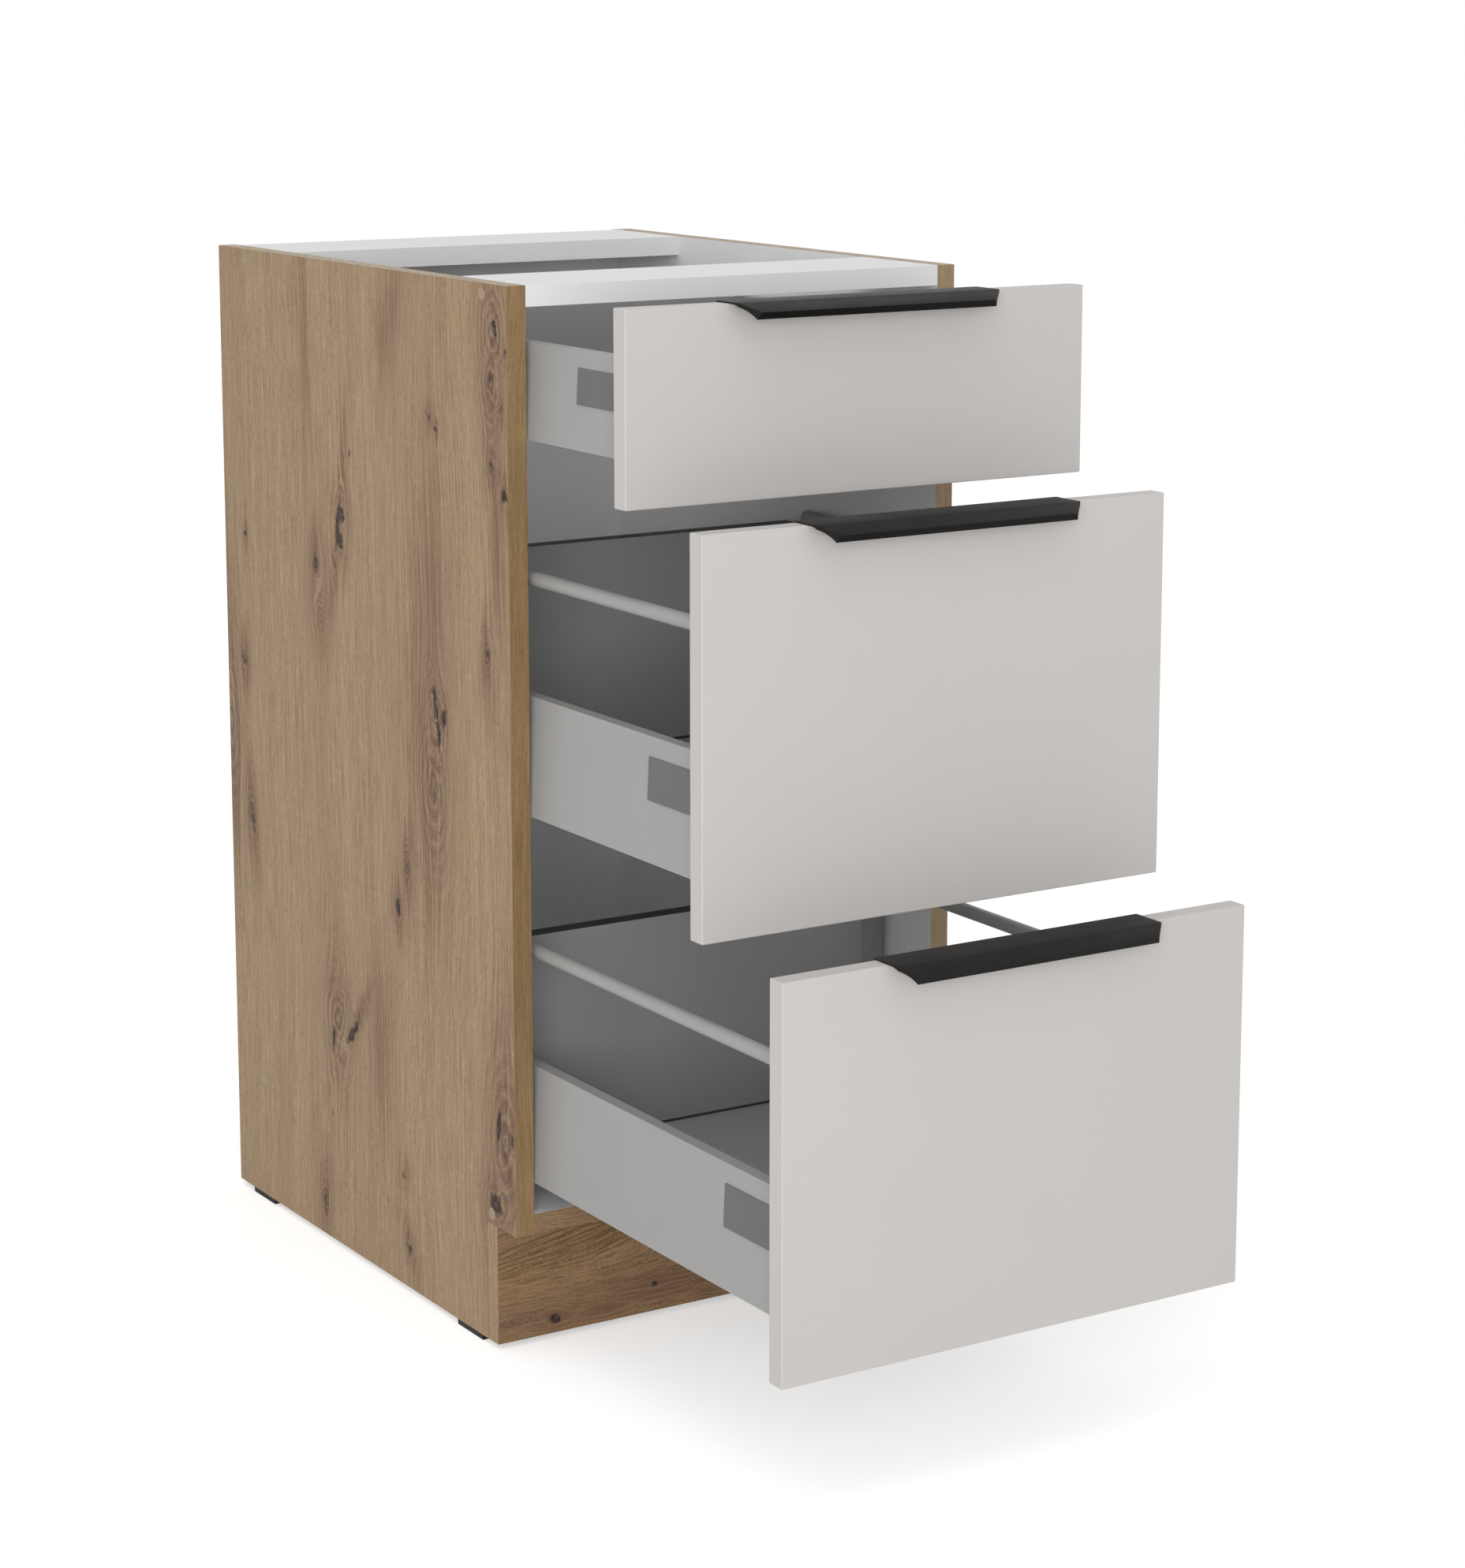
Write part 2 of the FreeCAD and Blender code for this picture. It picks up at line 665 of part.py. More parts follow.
def make_drawer(drawer):
    """All pieces that move with one drawer, in a frame at the rear of its front."""
    frame = {
        "along": f"-(closed_gap + open_{drawer})",
        "up": f"glide_height + wall_bottom_{drawer}",
    }
    front_top = f"front_top_{drawer}"
    wall_top = f"wall_height_{drawer}"
    back_top = f"box_back_height_{drawer}"
    rod_rise = f"rod_rise_{drawer}"
    plate_low = f"plate_low_{drawer}"
    plate_high = f"plate_high_{drawer}"
    tall = drawer in TALL_DRAWERS

    # Where the screws of this drawer start and which way they run
    handle_screws = [
        ((spread, "handle_flange_thick", f"{front_top} - handle_screw_drop"), "-y")
        for spread in ("-handle_screw_spread", "0", "handle_screw_spread")
    ]
    arm_screws = [
        ((from_inside(side, "arm_screw"), "arm_steel", height), "-y")
        for side in SIDES
        for height in ("arm_low + arm_screw_inset", f"{plate_high} - arm_screw_inset")
    ]
    flange_screws = [
        ((from_inside(side, "wall_in + wall_flange / 2"), place, "flange_underside"), "+z")
        for side in SIDES
        for place in ("wall_length / 8", "wall_length / 2", "wall_length * 7 / 8")
    ]
    end_screws = [
        ((from_inside(side, "bracket_in - screw_head_thick"), "wall_length - box_board / 2", height), INWARD[side])
        for side in SIDES
        for height in (f"box_rise + {back_top} / 5", f"{back_top} * 4 / 5")
    ]
    rod_screws = [
        ((from_inside(side, "rod_in"), "socket_floor", rod_rise), "-y")
        for side in (SIDES if tall else ())
    ]

    # Front board with softly rounded edges
    front = new_piece(f"front_{drawer}", **frame)
    board = box(
        front,
        "Additive",
        ("-front_width / 2", "-front_thick", f"-front_drop_{drawer}"),
        ("front_width / 2", "0", front_top),
    )
    rounding = front.newObject("PartDesign::Fillet", "Rounding")
    rounding.Base = (board, [""])
    rounding.UseAllEdges = True
    bind(rounding, "Radius", "front_edge_round")
    drill_screws(front, handle_screws + arm_screws + rod_screws)

    # Handle: an edge profile over the top of the front with bevelled ends
    handle = new_piece(f"handle_{drawer}", **frame)
    profile = [
        ("handle_flange_thick", f"{front_top} - handle_flange_drop"),
        ("handle_flange_thick", f"{front_top} + handle_plate"),
        ("-handle_flat", f"{front_top} + handle_plate"),
        ("-handle_nose", f"{front_top} - handle_nose_drop"),
        ("-handle_tip", f"{front_top} - handle_tip_drop"),
        ("-handle_curve_start", front_top),
        ("0", front_top),
        ("0", f"{front_top} - handle_flange_drop"),
    ]
    section = outline(handle, "YZ_Plane", "-handle_half", profile, {4: "handle_curve"})
    pad(handle, section, "handle_length")
    for side in SIDES:
        bevel = [
            (f"{side} * handle_half", "-handle_flat"),
            (f"{side} * (handle_half - 2 * handle_bevel_run)", "-(handle_flat + 2 * handle_reach)"),
            (f"{side} * (handle_half + handle_bevel_run)", "-(handle_flat + 2 * handle_reach)"),
            (f"{side} * (handle_half + handle_bevel_run)", "-handle_flat"),
        ]
        cut = handle.newObject("PartDesign::Pocket", "Bevel")
        cut.Profile = outline(handle, "XY_Plane", f"{front_top} + handle_plate * 2", bevel)
        bind(cut, "Length", "handle_flange_drop + handle_plate * 2")
    drill_screws(handle, handle_screws)

    make_walls(drawer, frame, flange_screws)

    # Bottom board on the flanges and back board on top of it
    bottom = new_piece(f"box_bottom_{drawer}", **frame)
    box(bottom, "Additive", ("-box_half", "0", "box_underside"), ("box_half", "wall_length", "box_rise"))
    drill_screws(bottom, flange_screws, "floor_screw_length")
    back = new_piece(f"box_back_{drawer}", **frame)
    box(back, "Additive", ("-back_half", "box_back_front", "box_rise"), ("back_half", "wall_length", back_top))
    drill_screws(back, end_screws)

    # Bent brackets between the back board and the walls
    brackets = new_piece(f"back_brackets_{drawer}", **frame)
    for side in SIDES:
        outer = "bracket_out" if tall else "wall_in"
        plan = [
            (outer, "box_back_front"),
            ("bracket_in", "box_back_front"),
            ("bracket_in", "wall_length"),
            ("bracket_in - bracket_steel", "wall_length"),
            ("bracket_in - bracket_steel", "box_back_front + bracket_steel"),
            (f"{outer} + bracket_steel", "box_back_front + bracket_steel"),
            (f"{outer} + bracket_steel", "wall_length"),
            (outer, "wall_length"),
        ]
        corners = [(from_inside(side, inset), place) for inset, place in plan]
        lower = wall_top if tall else "box_rise"
        pad(brackets, outline(brackets, "XY_Plane", lower, corners), f"{back_top} - ({lower})")
        if not tall:
            continue
        leg = [("wall_in", place) if inset == outer else (inset, place) for inset, place in plan]
        leg = [("bracket_wall", place) if inset == f"{outer} + bracket_steel" else (inset, place) for inset, place in leg]
        corners = [(from_inside(side, inset), place) for inset, place in leg]
        pad(brackets, outline(brackets, "XY_Plane", "box_rise", corners), f"{wall_top} - box_rise")
        nose = [
            ("bracket_out + bracket_steel", f"{back_top} - bracket_nose_drop"),
            ("bracket_nose_out", f"{back_top} - bracket_nose_drop + bracket_nose_slope"),
            ("bracket_nose_out", back_top),
            ("bracket_out + bracket_steel", back_top),
        ]
        corners = [(from_inside(side, inset), height) for inset, height in nose]
        run_back(brackets, "box_back_front", "box_back_front + bracket_steel", corners)
        groove = (from_inside(side, "rod_in"), "rod_start", rod_rise)
        rod(brackets, "Subtractive", groove, "+y", "rod_radius + fit", "wall_length")
    drill_screws(brackets, end_screws)

    # Arms that join the walls to the front
    arms = new_piece(f"front_brackets_{drawer}", **frame)
    for side in SIDES:
        plan = [
            ("arm_out", "0"),
            ("wall_in - wall_skin", "0"),
            ("wall_in - wall_skin", "arm_length"),
            ("wall_in - wall_skin - arm_steel", "arm_length"),
            ("wall_in - wall_skin - arm_steel", "arm_steel"),
            ("arm_out", "arm_steel"),
        ]
        corners = [(from_inside(side, inset), place) for inset, place in plan]
        pad(arms, outline(arms, "XY_Plane", "arm_low", corners), f"{plate_high} - (arm_low)")
    drill_screws(arms, arm_screws)

    # Cover plates that lie on the leaning outer skins
    plates = new_piece(f"cover_plates_{drawer}", **frame)
    for side in SIDES:
        profile = [
            (skin_at(plate_low, drawer), plate_low),
            (skin_at(plate_high, drawer), plate_high),
            (f"{skin_at(plate_high, drawer)} - plate_thick", plate_high),
            (f"{skin_at(plate_low, drawer)} - plate_thick", plate_low),
        ]
        corners = [(from_inside(side, inset), height) for inset, height in profile]
        run_back(plates, "plate_front", f"plate_rear_{drawer}", corners)

    # Buffers behind the front, opposite the front edges of the sides
    buffers = new_piece(f"buffers_{drawer}", **frame)
    for side in SIDES:
        start = (from_outside(side, "board_middle"), "0", f"{front_top} - buffer_inset")
        rod(buffers, "Additive", start, "+y", "buffer_radius", "buffer_thick")

    # Gallery rods with their sockets behind the front
    if tall:
        rods = new_piece(f"gallery_rods_{drawer}", **frame)
        sockets = new_piece(f"rod_sockets_{drawer}", **frame)
        for side in SIDES:
            middle = from_inside(side, "rod_in")
            rod(rods, "Additive", (middle, "rod_start", rod_rise), "+y", "rod_radius", "rod_end - rod_start")
            rod(sockets, "Additive", (middle, "0", rod_rise), "+y", "socket_radius", "socket_length")
            start = (middle, "socket_floor", rod_rise)
            rod(sockets, "Subtractive", start, "+y", "rod_radius + fit", "socket_length")
        drill_screws(sockets, rod_screws)

    # Every small screw of the drawer
    screws = new_piece(f"drawer_screws_{drawer}", **frame)
    for start, turn in handle_screws + arm_screws + end_screws + rod_screws:
        screw(screws, "Additive", start, turn)
    for start, turn in flange_screws:
        screw(screws, "Additive", start, turn, length="floor_screw_length")


for drawer in DRAWERS:
    make_slides(drawer)
    make_drawer(drawer)

doc.recompute()

for piece in pieces:
    for feature in piece.Group + [piece]:
        troubles = [word for word in feature.State if word in ("Invalid", "Error")]
        if troubles:
            raise RuntimeError(f"{piece.Label}: {feature.Name} is {troubles}")
    if piece.Shape.isNull() or not piece.Shape.isValid():
        raise RuntimeError(f"{piece.Label} has no valid shape")
    piece.Shape.exportStep(f"parts/{piece.Label}.step")
    bounds = piece.Shape.BoundBox
    print(f"{piece.Label}: {len(piece.Shape.Solids)} solids, y {bounds.YMin:.1f} to {bounds.YMax:.1f}")
print(f"{len(pieces)} pieces exported")
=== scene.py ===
# %% [markdown]
# A kitchen base cabinet with three drawers that stand open in steps.
# The model made in CAD comes in as a fixed frame in metres. It already has the right shapes and places,
# so this script gives it what the eye sees: soft edges, decor, lacquer, steel and real screws.

# %% Load the frame
import json
import math

import bmesh
import bpy
import numpy as np
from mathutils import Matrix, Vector


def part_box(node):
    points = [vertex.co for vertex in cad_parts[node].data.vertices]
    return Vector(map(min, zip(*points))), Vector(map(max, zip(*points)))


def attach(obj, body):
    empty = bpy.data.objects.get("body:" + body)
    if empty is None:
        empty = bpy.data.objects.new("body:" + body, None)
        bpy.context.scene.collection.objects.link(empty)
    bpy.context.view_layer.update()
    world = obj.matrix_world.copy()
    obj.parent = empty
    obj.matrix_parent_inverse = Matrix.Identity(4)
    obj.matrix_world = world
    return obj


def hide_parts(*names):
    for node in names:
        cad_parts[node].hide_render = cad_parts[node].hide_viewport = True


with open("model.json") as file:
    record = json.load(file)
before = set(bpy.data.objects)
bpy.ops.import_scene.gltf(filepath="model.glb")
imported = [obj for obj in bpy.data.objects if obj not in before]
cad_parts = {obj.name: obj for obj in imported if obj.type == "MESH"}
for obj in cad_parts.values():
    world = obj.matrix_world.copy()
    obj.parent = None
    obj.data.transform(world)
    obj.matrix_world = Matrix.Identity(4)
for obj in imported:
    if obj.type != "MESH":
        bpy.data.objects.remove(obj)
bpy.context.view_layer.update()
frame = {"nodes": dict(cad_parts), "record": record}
NODES = frame["nodes"]
BODY_OF = {node: body for body, nodes in frame["record"]["behaviour"]["bodies"].items() for node in nodes}
MM = 0.001
DRAWERS = (1, 2, 3)
TALL_DRAWERS = (2, 3)

# %% [markdown]
# The camera comes first, because every later choice is judged through it. It stands to the left in front
# of the cabinet, a little above it, and looks down at it with a long lens. A small vertical shift keeps
# the upright edges nearly parallel, as a product photographer does, without moving other views far.

# %% Camera
CAMERA_PLACE = (-1.4730, -2.3397, 1.0396)
CAMERA_HEADING = 0.5602
CAMERA_PITCH = 0.1740
CAMERA_LENS = 83.8
CAMERA_SHIFT = -0.1


def look_along(heading, pitch):
    """Direction of a view that turns from +Y towards +X and looks down by a pitch."""
    level = Vector((math.sin(heading), math.cos(heading), 0))
    return level * math.cos(pitch) - Vector((0, 0, math.sin(pitch)))


camera_data = bpy.data.cameras.new("camera")
camera_data.lens = CAMERA_LENS
camera_data.shift_y = CAMERA_SHIFT
camera = bpy.data.objects.new("camera", camera_data)
camera.location = CAMERA_PLACE
camera.rotation_euler = look_along(CAMERA_HEADING, CAMERA_PITCH).to_track_quat("-Z", "Y").to_euler()
bpy.context.scene.collection.objects.link(camera)
bpy.context.scene.camera = camera
bpy.context.scene.view_settings.view_transform = "Standard"
print("camera at", [round(value, 3) for value in camera.location])

# %% [markdown]
# Node trees get long, so a few helpers keep them readable. Feeding a socket takes either a plain value
# or another socket. Everything below is wired with these.

# %% Helpers for node trees
def feed(tree, source, target):
    """Set a socket to a value, or link another socket to it."""
    if isinstance(source, bpy.types.NodeSocket):
        tree.links.new(source, target)
    elif source is not None:
        target.default_value = source


def put(tree, kind, inputs=None, **settings):
    """Add a node with settings, then feed its inputs by name or number."""
    item = tree.nodes.new(kind)
    for key, setting in settings.items():
        setattr(item, key, setting)
    for key, source in (inputs or {}).items():
        feed(tree, source, item.inputs[key])
    return item


def maths(tree, operation, first, second=None, clamp=False):
    """One step of arithmetic on numbers."""
    item = put(tree, "ShaderNodeMath", operation=operation, use_clamp=clamp)
    for source, socket in zip((first, second), item.inputs):
        feed(tree, source, socket)
    return item.outputs[0]


def times(tree, first, second, clamp=False):
    """Product of two numbers."""
    return maths(tree, "MULTIPLY", first, second, clamp)


def plus(tree, first, second, clamp=False):
    """Sum of two numbers."""
    return maths(tree, "ADD", first, second, clamp)


def minus(tree, first, second):
    """Difference of two numbers."""
    return maths(tree, "SUBTRACT", first, second)


def mix_numbers(tree, factor, first, second):
    """Mix two numbers."""
    return put(tree, "ShaderNodeMix", {0: factor, 2: first, 3: second}).outputs[0]


def blend_colour(tree, factor, first, second, mode="MIX"):
    """Mix two colours."""
    item = put(tree, "ShaderNodeMix", {0: factor, 6: first, 7: second}, data_type="RGBA", blend_type=mode)
    return item.outputs[2]


def remap(tree, source, low, high, new_low=0.0, new_high=1.0, smooth=False):
    """Stretch a range of values to another range."""
    item = put(tree, "ShaderNodeMapRange", {0: source, 1: low, 2: high, 3: new_low, 4: new_high})
    item.interpolation_type = "SMOOTHSTEP" if smooth else "LINEAR"
    return item.outputs[0]


def noise(tree, vector, scale, detail=4.0, roughness=0.5):
    """Soft random pattern between 0 and 1."""
    settings = {"Vector": vector, "Scale": scale, "Detail": detail, "Roughness": roughness}
    return put(tree, "ShaderNodeTexNoise", settings).outputs["Fac"]


def cells(tree, vector, scale):
    """Outputs of a pattern of cells, each with its own random colour."""
    return put(tree, "ShaderNodeTexVoronoi", {"Vector": vector, "Scale": scale}).outputs


def grey(level):
    """A neutral colour."""
    return (level, level, level, 1.0)


def grey_of(tree, level):
    """A neutral colour from a level that changes over the surface."""
    return put(tree, "ShaderNodeCombineColor", {0: level, 1: level, 2: level}).outputs[0]


def red_of(tree, colour):
    """The first part of a colour, as a random number of its cell."""
    return put(tree, "ShaderNodeSeparateColor", {0: colour}).outputs[0]


def parts_of(tree, vector):
    """The three parts of a vector."""
    return put(tree, "ShaderNodeSeparateXYZ", {0: vector}).outputs


def vector_of(tree, first, second, third):
    """A vector from three parts."""
    return put(tree, "ShaderNodeCombineXYZ", {0: first, 1: second, 2: third}).outputs[0]


def face_direction(tree):
    """The three parts of the direction in which a face looks."""
    return parts_of(tree, put(tree, "ShaderNodeNewGeometry").outputs["True Normal"])


def scaled(tree, vector, factors):
    """Multiply a vector by three factors."""
    item = put(tree, "ShaderNodeVectorMath", {0: vector, 1: factors}, operation="MULTIPLY")
    return item.outputs[0]


# %% [markdown]
# An effect that several finishes share is a node group with named sockets. The first one is a knot.
# On a board the fibres flow round a knot, a stain runs from it along the grain, rings lie close round it,
# and its middle is nearly black. All four follow from how far a point lies from the knot's middle,
# counted in knot sizes. The groups are chained, so each knot adds its share to what came before.
# The two rates say how fast push and stain fade, first across the grain and then along it.

# %% Group of one knot
PUSH_RATES = (0.13, 0.08)
STAIN_RATES = (0.16, 0.035)
PUSH_SHARE = -0.82
RIM_AT = 0.94
STAIN_ONLY_BELOW = 0.01
FILLED_ABOVE = 0.95
OUT_OF_SIGHT = 50.0


def new_group(name, inputs, outputs):
    """Empty shader group with named sockets; returns its tree, input node and output node."""
    tree = bpy.data.node_groups.new(name, "ShaderNodeTree")
    for label, kind, start in inputs:
        socket = tree.interface.new_socket(label, in_out="INPUT", socket_type=f"NodeSocket{kind}")
        if start is not None:
            socket.default_value = start
    for label, kind in outputs:
        tree.interface.new_socket(label, in_out="OUTPUT", socket_type=f"NodeSocket{kind}")
    return tree, tree.nodes.new("NodeGroupInput").outputs, tree.nodes.new("NodeGroupOutput").inputs


def faded(tree, wide_square, tall_square, rates):
    """A share that falls from one at the knot to nothing far away."""
    reach = plus(tree, times(tree, wide_square, rates[0]), times(tree, tall_square, rates[1]))
    return maths(tree, "EXPONENT", times(tree, reach, -1.0))


def build_knot_group():
    """Push of the fibres, ring distance, stain and dark core of one knot."""
    tree, given, result = new_group(
        "Knot",
        [
            ("Place", "Vector", None),
            ("Across", "Float", 0.0),
            ("Along", "Float", 0.0),
            ("Radius", "Float", 0.005),
            ("Stretch", "Float", 2.0),
            ("Lean", "Float", 0.0),
            ("Depth", "Float", 1.0),
            ("Push", "Float", 0.0),
            ("Distance", "Float", 100.0),
            ("Stain", "Float", 0.0),
            ("Core", "Float", 0.0),
        ],
        [("Push", "Float"), ("Distance", "Float"), ("Stain", "Float"), ("Core", "Float")],
    )
    place = parts_of(tree, given["Place"])
    ahead = minus(tree, place[1], given["Along"])
    straight = minus(tree, place[0], given["Across"])
    aside = minus(tree, straight, times(tree, ahead, given["Lean"]))
    wide = maths(tree, "DIVIDE", aside, given["Radius"])
    tall = maths(tree, "DIVIDE", ahead, times(tree, given["Radius"], given["Stretch"]))
    wide_square = times(tree, wide, wide)
    tall_square = times(tree, tall, tall)
    distance = maths(tree, "SQRT", plus(tree, wide_square, tall_square))
    fade = faded(tree, wide_square, tall_square, PUSH_RATES)
    solid = maths(tree, "GREATER_THAN", given["Depth"], STAIN_ONLY_BELOW)
    push = times(tree, times(tree, aside, PUSH_SHARE), times(tree, fade, solid))
    stain = faded(tree, wide_square, tall_square, STAIN_RATES)
    stain = times(tree, stain, remap(tree, given["Depth"], 0.0, 0.3, 0.72, 1.0))
    ringed = plus(tree, distance, times(tree, minus(tree, 1.0, solid), OUT_OF_SIGHT))
    filled = remap(tree, distance, 1.10, 0.80, smooth=True)
    rim = remap(tree, maths(tree, "ABSOLUTE", minus(tree, distance, RIM_AT)), 0.22, 0.06)
    ringed_core = maths(tree, "MAXIMUM", remap(tree, distance, 0.80, 0.35), times(tree, rim, 0.55))
    split = maths(tree, "GREATER_THAN", given["Depth"], FILLED_ABOVE)
    core = maths(tree, "MAXIMUM", times(tree, filled, split), ringed_core)
    core = times(tree, core, given["Depth"])
    feed(tree, plus(tree, given["Push"], push), result["Push"])
    feed(tree, maths(tree, "MINIMUM", given["Distance"], ringed), result["Distance"])
    feed(tree, maths(tree, "MAXIMUM", given["Stain"], stain), result["Stain"])
    feed(tree, maths(tree, "MAXIMUM", given["Core"], core), result["Core"])
    return tree


KNOT = build_knot_group()
print("knot group has", len(KNOT.nodes), "nodes")

# %% [markdown]
# The oak decor is a printed paper with upright fibres, broad bands from olive to pinkish brown, fine dark
# lines of growth, and pores. Noise that is squeezed across the grain and stretched along it gives fibres
# of any width. Five widths are added up, and the knots bend them all. The same group serves the side
# panels and the plinth board.

# %% Group of the oak decor
RUDDY_OAK = (0.350, 0.220, 0.142, 1)
STAINED_OAK = (0.178, 0.098, 0.067, 1)
RING_BROWN = (0.130, 0.073, 0.050, 1)
KNOT_BLACK = (0.023, 0.017, 0.017, 1)
PIN_KNOT_BROWN = (0.085, 0.058, 0.045, 1)
PORE_BROWN = (0.140, 0.090, 0.055, 1)
RING_SPEED = 9.5
RING_FADE = -0.52


def stretched(tree, fibre, across, along, detail=3.0, roughness=0.55):
    """Noise in streaks; the numbers are streaks to the metre."""
    return noise(tree, scaled(tree, fibre, (across, along, 1.0)), 1.0, detail, roughness)


def build_oak_group():
    """Colour, height and roughness of knotty oak; the grain runs along the second axis."""
    tree, given, result = new_group(
        "Knotty oak",
        [
            ("Place", "Vector", None),
            ("Push", "Float", 0.0),
            ("Distance", "Float", 100.0),
            ("Stain", "Float", 0.0),
            ("Core", "Float", 0.0),
            ("Light", "Color", (0.44, 0.32, 0.2, 1)),
            ("Dark", "Color", (0.26, 0.17, 0.1, 1)),
            ("Contrast", "Float", 1.0),
        ],
        [("Colour", "Color"), ("Height", "Float"), ("Roughness", "Float")],
    )
    place = parts_of(tree, given["Place"])
    wander = minus(tree, stretched(tree, given["Place"], 7.0, 1.8, 2.0), 0.5)
    across = plus(tree, place[0], given["Push"])
    across = plus(tree, across, times(tree, wander, 0.05))
    fibre = vector_of(tree, across, place[1], place[2])
    line = stretched(tree, fibre, 340.0, 4.0, 3.0, 0.6)
    hair = stretched(tree, fibre, 620.0, 26.0, 2.0, 0.6)
    widths = (
        (stretched(tree, fibre, 22.0, 0.7, 2.0), 0.70),
        (stretched(tree, fibre, 105.0, 1.6, 3.0, 0.6), 0.50),
        (line, 1.35),
        (hair, 2.10),
        (stretched(tree, fibre, 520.0, 180.0, 2.0, 0.6), 1.35),
    )
    tone = 0.0
    for pattern, weight in widths:
        centred = minus(tree, pattern, 0.5)
        tone = plus(tree, tone, times(tree, centred, weight))
    tone = plus(tree, times(tree, tone, given["Contrast"]), 0.45, clamp=True)
    pore = remap(tree, stretched(tree, fibre, 700.0, 75.0, 2.0), 0.60, 0.70)
    plain = blend_colour(tree, tone, given["Light"], given["Dark"])
    ruddy = remap(tree, stretched(tree, fibre, 16.0, 0.6, 2.0), 0.45, 0.72, 0.0, 0.40)
    plain = blend_colour(tree, ruddy, plain, RUDDY_OAK)
    growth = remap(tree, stretched(tree, fibre, 420.0, 2.6, 2.0, 0.7), 0.62, 0.72, 0.0, 0.40)
    plain = blend_colour(tree, growth, plain, given["Dark"])
    shade = times(tree, given["Stain"], remap(tree, line, 0.32, 0.64, 0.20, 1.15), clamp=True)
    stained = blend_colour(tree, shade, plain, STAINED_OAK)
    ring = maths(tree, "SINE", times(tree, given["Distance"], RING_SPEED))
    near = maths(tree, "EXPONENT", times(tree, given["Distance"], RING_FADE))
    pale_ring = times(tree, remap(tree, ring, 0.60, 1.0), times(tree, near, 0.60), clamp=True)
    stained = blend_colour(tree, pale_ring, stained, given["Light"])
    dark_ring = times(tree, remap(tree, ring, -0.75, -1.0), near, clamp=True)
    stained = blend_colour(tree, times(tree, dark_ring, 0.95), stained, RING_BROWN)
    crumb = remap(tree, stretched(tree, given["Place"], 650.0, 150.0, 3.0, 0.65), 0.42, 0.60, 1.1, 0.60)
    cracked = times(tree, given["Core"], crumb, clamp=True)
    stained = blend_colour(tree, cracked, stained, KNOT_BLACK)
    pins = cells(tree, scaled(tree, given["Place"], (22.0, 12.0, 1.0)), 1.0)
    chosen = maths(tree, "GREATER_THAN", red_of(tree, pins["Color"]), 0.72)
    dot = times(tree, remap(tree, pins["Distance"], 0.055, 0.02), chosen)
    stained = blend_colour(tree, times(tree, dot, 0.85), stained, PIN_KNOT_BROWN)
    stained = blend_colour(tree, times(tree, pore, 0.35), stained, PORE_BROWN)
    feed(tree, stained, result["Colour"])
    height = minus(tree, times(tree, line, 0.6), times(tree, pore, 0.8))
    feed(tree, minus(tree, height, times(tree, given["Core"], 0.8)), result["Height"])
    feed(tree, remap(tree, line, 0.3, 0.7, 0.56, 0.68), result["Roughness"])
    return tree


OAK = build_oak_group()
print("oak group has", len(OAK.nodes), "nodes")

# %% [markdown]
# Two more groups are shared. Chipboard shows on sawn edges that have no band: pale and dark chips in
# every direction, which Voronoi cells give. The pearl is the fine texture of melamine, lacquer and
# powder coat: a height for the bump and a roughness that varies a little where hands have touched it.

# %% Groups of chipboard and pearl
CHIPS_DARK = (0.20, 0.137, 0.072, 1)
CHIPS_PALE = (0.58, 0.455, 0.30, 1)


def build_chip_group():
    """Colour and height of a sawn chipboard edge."""
    tree, given, result = new_group(
        "Chipboard",
        [("Place", "Vector", None)],
        [("Colour", "Color"), ("Height", "Float")],
    )
    shade = red_of(tree, cells(tree, given["Place"], 520.0)["Color"])
    crumbs = noise(tree, given["Place"], 1400.0, 3.0, 0.7)
    mixed = plus(tree, times(tree, shade, 0.65), times(tree, crumbs, 0.35))
    feed(tree, blend_colour(tree, mixed, CHIPS_DARK, CHIPS_PALE), result["Colour"])
    feed(tree, mixed, result["Height"])
    return tree


def build_pearl_group():
    """Fine height, faint tone and handled roughness of a coated surface."""
    tree, given, result = new_group(
        "Pearl",
        [
            ("Place", "Vector", None),
            ("Fineness", "Float", 900.0),
            ("Low", "Float", 0.4),
            ("High", "Float", 0.5),
        ],
        [("Height", "Float"), ("Tone", "Float"), ("Roughness", "Float")],
    )
    grains = noise(tree, given["Place"], given["Fineness"], 3.0, 0.55)
    cloud = noise(tree, given["Place"], 5.0, 3.0, 0.6)
    touched = noise(tree, given["Place"], 28.0, 4.0, 0.65)
    feed(tree, grains, result["Height"])
    feed(tree, remap(tree, cloud, 0.3, 0.7, 0.985, 1.015), result["Tone"])
    feed(tree, remap(tree, touched, 0.3, 0.7, given["Low"], given["High"]), result["Roughness"])
    return tree


CHIP = build_chip_group()
PEARL = build_pearl_group()
print("groups:", [group.name for group in bpy.data.node_groups])

# %% [markdown]
# A finish starts with the same few nodes each time: place, normal, shader and a bump that feeds it.
# The relief of the bump is a real height in metres, so it has the same look on every piece.

# %% Helpers for finishes
def new_finish(name):
    """Material with a Principled shader; returns it with its tree, shader and place vector."""
    finish = bpy.data.materials.new(name)
    finish.use_nodes = True
    tree = finish.node_tree
    shader = tree.nodes["Principled BSDF"]
    place = put(tree, "ShaderNodeTexCoord").outputs["Object"]
    return finish, tree, shader, place


def place_group(tree, group, inputs):
    """Put a shared group into a material."""
    item = put(tree, "ShaderNodeGroup", node_tree=group)
    for key, source in inputs.items():
        feed(tree, source, item.inputs[key])
    return item.outputs


